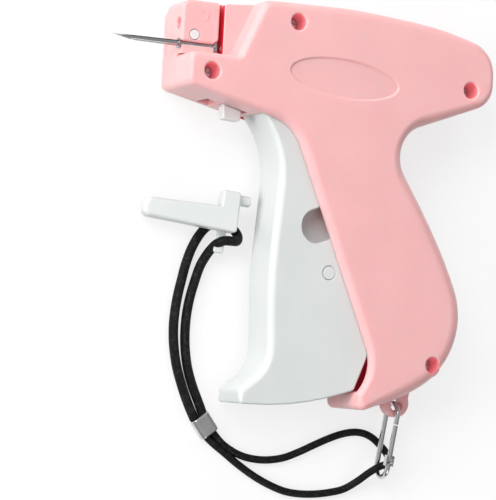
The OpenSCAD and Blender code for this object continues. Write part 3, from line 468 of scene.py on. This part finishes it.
def smooth_route(points, step):
    """Points about a step apart on a smooth curve through the given ones, and its length."""
    pts = [Vector(p) for p in points]
    dense = []
    for i in range(len(pts) - 1):
        p0, p1, p2, p3 = pts[max(0, i - 1)], pts[i], pts[i + 1], pts[min(len(pts) - 1, i + 2)]
        for k in range(ROUTE_STEPS):
            t = k / ROUTE_STEPS
            dense.append(0.5 * (2 * p1 + (p2 - p0) * t + (2 * p0 - 5 * p1 + 4 * p2 - p3) * t * t
                                + (3 * p1 - p0 - 3 * p2 + p3) * t ** 3))
    dense.append(pts[-1])
    run = [0.0]
    for a, b in zip(dense, dense[1:]):
        run.append(run[-1] + (b - a).length)
    count = round(run[-1] / step)
    out, j = [], 0
    for k in range(count + 1):
        goal = run[-1] * k / count
        while j < len(run) - 2 and run[j + 1] < goal:
            j += 1
        t = (goal - run[j]) / max(1e-9, run[j + 1] - run[j])
        out.append(dense[j].lerp(dense[j + 1], t))
    return out, run[-1]


def braid_cord(name, points, d, node):
    """A braided cord: yarns of two hands cross round the tube, each standing proud where it lies on top."""
    yarns, cell, sides, ring_gap, proud = 12, 0.72, 48, 0.24, 0.04
    path, length = smooth_route(points, ring_gap)
    verts, uvs = [], []
    side = Vector((0, 0, 1)).cross(path[1] - path[0]).normalized()
    count = len(path)
    for k, p in enumerate(path):
        ahead = (path[min(k + 1, count - 1)] - path[max(k - 1, 0)]).normalized()
        side = (side - ahead * side.dot(ahead)).normalized()
        lift = ahead.cross(side)
        u = length * k / (count - 1) / cell
        for i in range(sides):
            v = yarns * i / sides
            crown = max(math.cos(math.tau * (v + u)), math.cos(math.tau * (v - u)))
            r = d / 2 * (0.96 + proud * crown)
            a = math.tau * i / sides
            verts.append(p + (side * math.cos(a) + lift * math.sin(a)) * r)
    for k in range(count - 1):
        u0, u1 = (length * q / (count - 1) / cell for q in (k, k + 1))
        for i in range(sides):
            v0, v1 = yarns * i / sides, yarns * (i + 1) / sides
            uvs += [(u0, v0), (u0, v1), (u1, v1), (u1, v0)]
    uvs += [(0.0, 0.0)] * sides * 2
    thing = loft(name, [verts[k * sides:(k + 1) * sides] for k in range(count)])
    layer = thing.data.uv_layers.new(name="yarn")
    for loop, uv in enumerate(uvs):
        layer.data[loop].uv = uv
    finish_piece(thing, "black_cord", "lanyard", node, sharp=60)


clip_route = [
    (10.887, -128.167, 1.3), (13.5, -131, 1.3), (16, -133, 1.3), (20.5, -135.4, 1.3), (25.5, -136.8, 1.3),
    (31.5, -137.2, 1.3), (38, -136.3, 1.3), (44, -134.1, 1.3), (49.5, -131.6, 1.3), (55.5, -129, 1.3),
    (60.5, -127.3, 1.3), (65, -126.5, 1.3), (69, -126.8, 1.3), (72.5, -128.2, 1.3), (75.5, -130.5, 1.4),
    (77.4, -132.8, 2.4), (77.8, -135.2, 4.2), (76.2, -137, 5.6), (73.4, -138, 5.9), (70.2, -140.2, 4.7),
    (66.5, -143.6, 2.6), (62, -146.4, 1.4), (56.5, -147.7, 1.3), (50.5, -148.4, 1.3), (44.5, -148.4, 1.3),
    (39, -147.6, 1.3), (33, -145.5, 1.3), (27, -142.6, 1.3), (21, -138.9, 1.3), (15.5, -135, 1.3),
    (11.5, -132.2, 1.3), (8.663, -129.869, 1.3),
]
cap_route = [
    (4.010, -124.364, 1.65), (1.2, -119, 1.65), (-1.4, -113, 1.65), (-3.6, -106.7, 1.65), (-5, -100, 1.65),
    (-5.5, -94, 1.65), (-5.3, -88.5, 1.65), (-4.6, -83, 1.65), (-3.5, -77.6, 1.65), (-2.3, -72.3, 1.65),
    (-0.6, -67.2, 1.65), (1.6, -62.9, 1.65), (4.2, -59.6, 1.65), (7.4, -57.6, 1.65), (11, -57.3, 1.65),
    (14, -58.8, 1.9), (15.6, -61.4, 3.3), (14.4, -63.4, 5.7), (11.6, -63.7, 7.6), (8.8, -63.8, 7.4),
    (6.9, -65, 5.4), (5.4, -67.4, 3.4), (4, -70.4, 2), (2.7, -73.4, 1.65), (1.3, -78, 1.65), (0, -83, 1.65),
    (-0.9, -88.5, 1.65), (-1.2, -94, 1.65), (-0.9, -100, 1.65), (0.3, -106.7, 1.65), (2.4, -112.8, 1.65),
    (5, -118.4, 1.65), (6.790, -122.236, 1.65),
]
braid_cord("clip_loop", clip_route, 2.6, "clip_loop_cord")
braid_cord("cap_loop", cap_route, 3.3, "cap_loop_cord")


# ---------------------------------------------------------------- case

# Corners of an outline are (x, y, corner radius, edge rounding), counterclockwise.
E, N, G = 2.7, 1.4, 5.6  # edges of the barrel, the nose and the grip
T = 0.7 * E  # edges of the toe
CASE_T = 25
SPLIT = 12.5
SEAM = 0.12
WALL = 2.2
NOSE_X, NOSE_Y = -14.5, -14.2
NEEDLE_Z = 14.5
LEDGE_Y, LEDGE_X = -3.3, 0.65  # the nose's cut-back ends here
FOOT_Y = -118.9
front_top = (25.3, -23.9, 16, E)
front_low = (60.3, -104.4, 15, T)
toe = [(53.9, -113, T + 0.6, T), (54.2, FOOT_Y, T + 0.5, T)]
grip_back = [
    (69.9, -115.2, 60, G), (86.2, -105.8, 29, G), (96.4, -86.6, 27, G), (86.9, -65.3, 120, G),
    (78.5, -51, 120, G), (61.4, -25.2, 11.5, G), (101.8, -9.3, 9, E), (101.8, 9.2, 11.5, E),
    (80, 14.9, 120, E), (46, 17.5, 150, E), (15, 16.7, 15, E),
]
sides_below = [front_top, front_low] + toe + grip_back
nose_low = (NOSE_X, NOSE_Y, 2.2, N)
right_outline = [nose_low] + sides_below + [(NOSE_X, 12.9, 3, N)]
left_outline = [nose_low] + sides_below + [
    (11.4, 16.2, 3.2, 2.6), (2.9, LEDGE_Y, 1.5, 2.4), (NOSE_X, LEDGE_Y, 2.4, 1.8),
]
core_below = [(NOSE_X, NOSE_Y, 3.2, 0), front_top, front_low, (55, FOOT_Y, 3, 0)] + grip_back
core_nose = (NOSE_X, LEDGE_Y, 3.2, 0)
right_core = core_below + [(LEDGE_X, 14.7, 3.2, 0), (LEDGE_X, LEDGE_Y, 1, 0), core_nose]
left_core = core_below + [(11.4, 16.2, 3.2, 0), (2.9, LEDGE_Y, 1, 0), core_nose]
SLOPE = math.atan2(front_top[1] - NOSE_Y, front_top[0] - NOSE_X)
screw_at = [(-6.3, -9.3), (24.3, 10.4), (92.1, -5.8), (82.1, -101.9)]
RECESS_R, RECESS_LIP, RECESS_FLOOR = 2.8, 0.7, 17.0
STOP_AT = (48, -51)
BUTTON_X = 2.8


def core(name, c, z0, z1):
    """The hollow of one half, open towards the trigger."""
    steps = steps_of(c)
    points = [p[:2] for p in flat_ring(c, steps, 0, WALL)]
    first = steps[0] + 1
    after = first + steps[1] + 1 + steps[2] + 1
    mouth = 13.6
    sill = WALL / math.cos(SLOPE) + NOSE_Y + (mouth - NOSE_X) * math.tan(SLOPE)
    # The lip over the foot falls a little to the front, clear of the pulled trigger.
    opening = [(mouth, sill), (mouth, -32), (40, -113.6), (58.6, -111.9)]
    return prism(name, points[:first] + opening + points[after:], z0, z1)


def under(along, down):
    """A place on the sloped underside, from the release button's front."""
    x0, y0 = BUTTON_X, NOSE_Y + (BUTTON_X - NOSE_X) * math.tan(SLOPE)
    return (x0 + math.cos(SLOPE) * along + math.sin(SLOPE) * down,
            y0 + math.sin(SLOPE) * along - math.cos(SLOPE) * down)


def under_box(a0, a1, d0, d1):
    """A box on the sloped underside, from a0 to a1 along it and d0 to d1 down from it."""
    return [under(a0, d0), under(a0, d1), under(a1, d1), under(a1, d0)]


def flip(thing):
    """Turns a half about the middle of the case's thickness."""
    thing.data.transform(Matrix.Translation((0, 0, CASE_T)) @ Matrix.Scale(-1, 4, (0, 0, 1)))
    thing.data.flip_normals()
    return thing


def mark_painted_hollows(thing, c):
    """Notes on each face how far it lies within the case, as its share of painted shade and glow: 1 in its hollow or
    slot, the recess share in a recess.
    """
    skin, low, high = 1.6, 2.9, 22.1
    rim = [p[:2] for p in flat_ring(c, steps_of(c), 0, skin)]
    values = []
    for face in thing.data.polygons:
        x, y, z = face.center
        within = False
        for (x0, y0), (x1, y1) in zip(rim, rim[1:] + rim[:1]):
            if (y0 > y) != (y1 > y) and x < x0 + (x1 - x0) * (y - y0) / (y1 - y0):
                within = not within
        on_nose = x < -11 or x < -0.9 and y > -5.6
        share = 1.0 if within and low < z < high and not on_nose else 0.0
        in_slot = -1.1 < x < 0.8 and y > -3.6 and low < z < 16.2
        to_screw = min(math.hypot(x - a, y - b) for a, b in screw_at)
        if in_slot:
            share = 1.0
        if 16.5 < z < 24.2 and to_screw < 3.0:
            share = RECESS_SHADE_SHARE
        values.append(share)
    # The mask of the pink plastic's painted shade and painted glow.
    thing.data.attributes.new("inside", "FLOAT", "FACE").data.foreach_set("value", values)


def recess(at, k):
    """A screw's recess, with a rounded lip."""
    lip = [(RECESS_R + RECESS_LIP * (1 - math.cos(a)), 24.3 + RECESS_LIP * math.sin(a))
           for a in [math.pi / 2 * q / 6 for q in range(7)]]
    floor = [(RECESS_R - 0.35, RECESS_FLOOR), (RECESS_R, RECESS_FLOOR + 0.35)]
    return lathe("recess%d" % k, floor + lip + [(3.5, 25.6)], at)


def oval(grow, z):
    """The shallow oval's edge at height z, grown by an amount."""
    mid, half, sides = (42.7, -6.9), (20.8, 6.7), 120
    t = math.radians(-3)
    out = []
    for k in range(sides):
        a = math.tau * k / sides
        x, y = (half[0] + grow) * math.cos(a), (half[1] + grow) * math.sin(a)
        out.append((mid[0] + x * math.cos(t) - y * math.sin(t), mid[1] + x * math.sin(t) + y * math.cos(t), z))
    return out


def needle_way():
    """The bore that the needle lies in."""
    return rod("needle_way", [(1.06, -20), (1.06, 0)], 0, NEEDLE_Z, 32)


left = slab("left_shell", left_outline, SPLIT, CASE_T, SEAM)
cut(left, core("left_hollow", left_core, SPLIT - 1, 22))
pocket = [(LEDGE_X, -3.7, 0.4, 0.35), (4.4, -3.7, 0.4, 0.05), (12.9, 15.6, 0.4, 0.05), (LEDGE_X, 14.7, 1.0, 0.35)]
add(left, slab("pocket", pocket, SPLIT + 0.05, 16.5),
    *[lathe("post%d" % k, [(3.9, SPLIT + 0.02), (4.2, SPLIT + 0.3), (4.2, 22.4)], at)
      for k, at in enumerate(screw_at)],
    lathe("stop", [(3.7, 15.4), (4.15, 15.6), (4.4, 16.1), (4.4, 22.4)], STOP_AT))
cut(left, prism("under_pocket", [(2.85, -2.5), (12, -2.5), (20, 12.9), (2.85, 12.5)], SPLIT - 1, 15.4),
    loft("oval", [oval(-0.75, 24.4), oval(-0.45, 24.46), oval(-0.1, 24.8), oval(0.1, 24.93), oval(0.45, 25.0),
                  oval(0.5, 25.5)]),
    prism("stem_way", under_box(0, 9.1, -2.8, 2), SPLIT - 1, 14.4),
    rod("rod_way", [(0.8, -1), (0.8, 4.85)], 0, NEEDLE_Z, 24),
    *[recess(at, k) for k, at in enumerate(screw_at)],
    *[lathe("shank%d" % k, [(1.5, SPLIT - 1), (1.5, 18)], at, 28) for k, at in enumerate(screw_at)])
mark_painted_hollows(left, left_outline)
finish_piece(left, "case_pink", "frame", "left_case")

shell = flip(slab("right_shell", right_outline, SPLIT, CASE_T, SEAM))
cut(shell, core("right_hollow", right_core, 3, SPLIT + 1))
cut(shell, block("nose_room", (-19.5, LEDGE_Y, 3), (LEDGE_X, 22.5, SPLIT + 1)))
lug_rim = [(4.4, 8.5), (4.75, 8.65), (4.9, 9.0), (4.9, 12.0), (4.75, 12.35), (4.4, 12.5)]
lug_hole = [(2.6, 8.3), (2.5, 8.55), (2.1, 9.0), (2.0, 9.4), (2.0, 11.6), (2.1, 12.0), (2.5, 12.45), (2.6, 12.7)]
neck = [(x, y, 0.8, 0.45) for x, y in ((71.3, -116.2), (79.5, -116.2), (81.5, -106), (69.3, -110.2))]
lug = lathe("lug", lug_rim, (75.4, -115.6))
add(lug, pebble("neck", neck, 8.5, 12.5))
cut(lug, lathe("lug_hole", lug_hole, (75.4, -116.2)))
cradle = block("cradle", (-14.1, -3.8, 2.9), (-1, -0.35, 12.4))
add(cradle, block("cradle_top", (-14.1, -3.25, 3), (-1, -0.35, 15.8)),
    block("cradle_side", (-14.1, -1, 2.9), (-1, 0.6, 9.05)))
cut(cradle, needle_way(),
    block("hub_room", (-13.15, -1.6, 9.05), (0, 3, 14.2)),
    block("flange_room", (-2.5, -2, 9.05), (0, 3, 25)),
    block("latch_room", (-5.6, -4.3, 9.1), (0, -1.45, 12.9)))
cut(shell, block("wheel_window", (-0.35, 1.5, 5.2), (3.85, 11.9, 11)),
    block("strip_exit", (-2.6, -20.2, 3.3), (2.2, -9.5, 14.5)),
    block("strip_way", (-1, -6.5, 3.6), (LEDGE_X, -2.8, 9.6)),
    block("latch_way", (-5.2, -6.5, 9.4), (3.8, -2.9, SPLIT + 1)),
    prism("stem_way", under_box(0, 9.1, -2.8, 2), 10.6, SPLIT + 1))
add(shell, lug, cradle)
mark_painted_hollows(shell, right_outline)
finish_piece(shell, "case_pink", "frame", "right_case")


# ---------------------------------------------------------------- nose

PIN_AT = (-9.9, 3.2)
PEG_Y = 7  # from the needle's axis up to the cap's peg and its socket
cover = [(NOSE_X, 0.7, 1.1, 1), (-1, 0.7, 2.2, 1), (-1, 14.8, 1.1, 1), (NOSE_X, 14.8, 3, 1)]
nose = slab("nose_cover", cover, 3, 16.5)
cut(nose, needle_way(),
    lathe("pin_way", [(1.8, 2), (1.8, 16.2), (2.1, 16.6), (2.1, 17)], PIN_AT, 40),
    rod("socket", [(2.4, -15.5), (2.3, -14.55), (1.95, -14.1), (1.9, -13.8), (1.9, -9.5)], PEG_Y, 12.8),
    block("flange_room", (-2.5, 0, 9.2), (0, 1.6, 25)))
mark = lathe("mark", [(1.7, 16.2), (1.7, 16.7), (1.55, 16.8)], (-6.6, 10.1), 40)
cut(mark, lathe("mark_in", [(1.6, 15), (1.6, 18)], (-7.5, 9.6), 40))
add(nose, mark)
mark_painted_hollows(nose, right_outline)
finish_piece(nose, "case_pink", "frame", "nose_block")

plug = [(1.6, 1.5), (1.78, 1.7), (1.78, 15.6), (1.62, 15.8), (1.62, 16.4), (1.56, 16.56), (1.4, 16.62)]
pin = lathe("nose_plug", plug, PIN_AT, 40)
finish_piece(pin, "white_plastic", "frame", "nose_pin")


def tilted(thing, turn):
    """Turns a piece about the needle's axis."""
    thing.data.transform(Matrix.Translation((0, 0, NEEDLE_Z)) @ Matrix.Rotation(math.radians(turn), 4, "X"))
    return thing


needle = rod("needle_tube", [(0.78, -38), (1.0, -15.9), (1.0, -1.8)], 0, NEEDLE_Z, 64)
plate = [(x, y, 0.3, 0.12) for x, y in ((-1.9, -1.6), (1.4, -1.6), (1.4, 1.5), (-1.9, 1.5))]
flange = pebble("flange", plate, 0, 0.9)
flange.data.transform(Matrix(((0, 0, 1, -2.2), (1, 0, 0, 0), (0, 1, 0, NEEDLE_Z), (0, 0, 0, 1))))
collar = [(0.9, -15.2), (1.6, -15.14), (1.73, -15.02), (1.73, -14.92), (1.6, -14.8), (0.9, -14.75)]
add(needle, flange, rod("collar", collar, 0, NEEDLE_Z, 64))
cut(needle, rod("needle_bore", [(0.56, -38.6), (0.7, -16.4), (0.7, 0)], 0, NEEDLE_Z, 64),
    tilted(block("slit", (-39, -0.3, 0), (0, 0.3, 3)), -55),
    prism("point", [(-39, -2), (-29, -2), (-29, -1), (-38, 0.66), (-39, 0.66)], 11.5, 17.5))
finish_piece(needle, "needle_steel", "frame", "needle")


# ---------------------------------------------------------------- trigger

pull = [
    (14.6, -20.2, 1.2, 0.6), (22.8, -33.8, 30, 2.5), (19.8, -75, 150, 2.5), (21.3, -104.9, 13, 2.5),
    (10.9, -113.4, 2.6, 2.2), (11.5, -118, 1, 0.6), (32.8494, -118.6503, 103.5, 0.8), (53.7014, -111.8752, 1.8, 0.8),
    (58.6, -99.5, 4, 0.8), (59.2, -82.9, 12, 0.8), (27, -15.5, 3, 0.8), (17.5, -15.5, 1.6, 0.6),
]
PULL_Z0, PULL_Z1 = 3.4, 21.6
LEVER_Z0, LEVER_Z1 = 7.2, 12.8  # the lever's slot in the trigger
turn_point = (20.0, -14.0)
LINK_AT = (42, -72.7)
PAWL_AT = (13.2, -9.5)


def round_pivot(r, a):
    """A place round the trigger's pivot."""
    return (turn_point[0] + r * math.sin(a), turn_point[1] - r * math.cos(a))


def window(grow, z):
    """The slot that rides round the stop post, with a round front end."""
    away, down = STOP_AT[0] - turn_point[0], turn_point[1] - STOP_AT[1]
    mid, half, steps, step = math.hypot(away, down), 5.6 + grow, 24, 5
    start, far = math.atan2(away, down) - math.radians(16), math.radians(70)
    middle = round_pivot(mid, start)
    out = [round_pivot(mid - half, start + (far - start) * k / steps) for k in range(1, steps + 1)]
    out += [round_pivot(mid + half, start + (far - start) * k / steps) for k in range(steps, 0, -1)]
    for k in range(180 // step + 1):
        a = start - math.radians(step * k)
        out.append((middle[0] + half * math.sin(a), middle[1] - half * math.cos(a)))
    return [(x, y, z) for x, y in reversed(out)]


lever_room = [(18.9, -8), (18.9, -22.5), (24.2, -33), (22.2, -72), (24, -98), (34, -104), (80, -104), (80, -8)]
trigger = pebble("trigger_pull", pull, PULL_Z0, PULL_Z1)
add(trigger, lathe("ear_right", [(3.6, PULL_Z0), (3.6, LEVER_Z0)], turn_point),
    lathe("ear_left", [(3.6, LEVER_Z1), (3.6, PULL_Z1)], turn_point),
    prism("pawl_arm", [(13.2, -7.3), (13.2, -11.7), (20, -17.2), (20, -12)], PULL_Z0, LEVER_Z0),
    lathe("pawl_eye", [(2.4, PULL_Z0), (2.4, LEVER_Z0)], PAWL_AT, 40))
cut(trigger, lathe("pivot_way", [(2.05, 0), (2.05, CASE_T)], turn_point, 40),
    lathe("pawl_way", [(1.2, 0), (1.2, CASE_T)], PAWL_AT, 32),
    lathe("link_way", [(2.9, 3.0), (2.7, 3.5), (2.32, 3.9), (2.32, 21.1), (2.7, 21.5), (2.9, 22)], LINK_AT),
    prism("lever_way", lever_room, LEVER_Z0, LEVER_Z1),
    loft("window_right", [window(0.7, 3.0), window(0.5, 3.5), window(0.12, 3.85), window(0, 4.2), window(0, 8.2)]),
    loft("window_left", [window(0, 15), window(0, 20.8), window(0.12, 21.15), window(0.5, 21.5), window(0.7, 22)]))
finish_piece(trigger, "pale_plastic", "trigger", "trigger")

stud = [(1.9, 3.7), (2.2, 3.8), (2.3, 4.1), (2.3, 20.9), (2.14, 21.1), (2.14, 21.5), (2.05, 21.62), (1.85, 21.66)]
link = lathe("link_stud", stud, LINK_AT)
finish_piece(link, "pale_plastic", "trigger", "link_pin")


# ---------------------------------------------------------------- release button

front, rear = under(0, 0.3), under(6.7, 0.3)
foot = front[1] - 4.8
pad = [(*front, 0.6, 0.45), (front[0] + 0.2, foot, 0.8, 0.5), (rear[0], foot - 0.4, 0.8, 0.5), (*rear, 0.6, 0.45)]
finger = [
    under(0.6, -3.5), under(3.8, -3.5), (5.2, -11), (0.8, -5.6), (-2.9, -3.6), (-2.9, -2.3),
    (-4.6, -2.3), (-4.6, -4.3), (-0.9, -7.4),
]
button = pebble("release_pad", pad, SPLIT - 2.2, SPLIT + 2.2)
add(button, prism("stem", under_box(0.4, 6.3, -2.5, 1), SPLIT - 1.6, SPLIT + 1.6),
    prism("flange", under_box(-0.6, 7.2, -3.9, -2.5), SPLIT - 2.8, SPLIT + 2.8),
    prism("finger", finger, SPLIT - 2.7, SPLIT - 0.3))
finish_piece(button, "white_plastic", "button", "release_button")


# ---------------------------------------------------------------- ferrule and cap

def stadium(t, grow):
    """One ring of the ferrule's section, t along it from the cap's side."""
    top, way = Vector((5.4, -123.3)), Vector((0.60773, -0.79415))
    across = Vector((0.79415, 0.60773))
    radius, apart, sides = 1.95, 1.75, 48
    out = []
    for k in range(sides):
        a = math.tau * k / sides
        r = radius + grow
        w = math.copysign(apart, math.cos(a)) + r * math.cos(a)
        p = top + way * t + across * w
        out.append((p.x, p.y, radius + r * math.sin(a)))
    return out


sleeve = loft("sleeve", [stadium(t, g) for t, g in (
    (1.2, -0.5), (0.12, -0.46), (0.0, -0.38), (0.02, -0.26), (0.12, -0.14), (0.32, -0.04), (0.6, 0.0), (2.4, 0.0),
    (4.8, 0.0), (6.6, 0.0), (6.88, -0.04), (7.08, -0.14), (7.18, -0.26), (7.2, -0.38), (7.08, -0.46), (6.0, -0.5))])
finish_piece(sleeve, "bright_wire", "lanyard", "ferrule", sharp=50)

# The cap is drawn lying along x, its needle bore open at CAP_L, and then moved to its place on the cord.
CAP_L, CAP_T, CAP_MID = 33, 6.6, 3.3
arm = [(0, -3.2, 2.8, 1.6), (CAP_L, -4.3, 1.0, 0.8), (CAP_L, 4.3, 1.0, 0.8), (0, 3.2, 2.8, 1.6)]
end = [(26.6, 0, 1.0, 0.8), (CAP_L, 0, 1.0, 0.8), (CAP_L, 9.5, 1.2, 0.8), (26.6, 9.5, 1.2, 0.8)]
hook = [
    (27.5, -3.3, 0.4, 0.3), (27.5, -9.2, 0.4, 0.3), (26.8, -9.7, 0.3, 0.3), (26.9, -11.5, 0.9, 0.6),
    (30.3, -11.6, 0.9, 0.6), (30.4, -3.3, 0.4, 0.3),
]
cap = pebble("cap_arm", arm, 0, CAP_T)
add(cap, pebble("cap_block", end, 0, CAP_T),
    rod("peg", [(1.85, 31), (1.85, 36.5), (1.7, 36.85), (1.4, 37)], PEG_Y, CAP_MID),
    pebble("hook", hook, 0.3, 2.4))
cut(cap, rod("needle_bore", [(1.5, 6), (1.5, 32.4), (1.9, 32.9), (2.0, 33.5)], 0, CAP_MID))
cap.data.transform(Matrix.Translation((-19.5, -54, 0)) @ Matrix.Rotation(math.radians(-5), 4, "Z")
                   @ Matrix.Rotation(math.radians(-8.6), 4, "Y"))
finish_piece(cap, "pale_plastic", "lanyard", "needle_cap")


# ---------------------------------------------------------------- floor

# The floor shows as white paper, with the tool's shadow on it; to other light it is a dimmer grey.
FLOOR = 3
FLOOR_GREY = 0.42
WHITE_SHARE = 0.72
floor = solid("floor", [(-FLOOR, -FLOOR, 0), (FLOOR, -FLOOR, 0), (FLOOR, FLOOR, 0), (-FLOOR, FLOOR, 0)], [(0, 1, 2, 3)])
mat, tree, bsdf = new_material("floor_paper")
paper = noise(tree, tree.nodes.new("ShaderNodeTexCoord").outputs["Object"], scale=300.0, detail=4.0)
tree.links.new(ramp(tree, paper, 0.3, 0.7, (0.97, 0.97, 0.97), (0.99, 0.99, 0.99)), bsdf.inputs["Base Color"])
bsdf.inputs["Roughness"].default_value = 0.9
bsdf.inputs["Specular IOR Level"].default_value = 0.1
dim = tree.nodes.new("ShaderNodeBsdfDiffuse")
dim.inputs["Color"].default_value = (FLOOR_GREY, FLOOR_GREY, FLOOR_GREY, 1.0)
glow = tree.nodes.new("ShaderNodeEmission")
glow.inputs["Strength"].default_value = 1.0
pale = tree.nodes.new("ShaderNodeMixShader")
pale.inputs[0].default_value = WHITE_SHARE
tree.links.new(bsdf.outputs[0], pale.inputs[1])
tree.links.new(glow.outputs[0], pale.inputs[2])
rays = tree.nodes.new("ShaderNodeLightPath")
seen = rays.outputs["Is Camera Ray"]
for way in ("Is Glossy Ray", "Is Transmission Ray"):
    most = tree.nodes.new("ShaderNodeMath")
    most.operation = "MAXIMUM"
    tree.links.new(seen, most.inputs[0])
    tree.links.new(rays.outputs[way], most.inputs[1])
    seen = most.outputs[0]
pick = tree.nodes.new("ShaderNodeMixShader")
tree.links.new(seen, pick.inputs[0])
tree.links.new(dim.outputs[0], pick.inputs[1])
tree.links.new(pale.outputs[0], pick.inputs[2])
tree.links.new(pick.outputs[0], tree.nodes["Material Output"].inputs["Surface"])
floor.data.materials.append(mat)
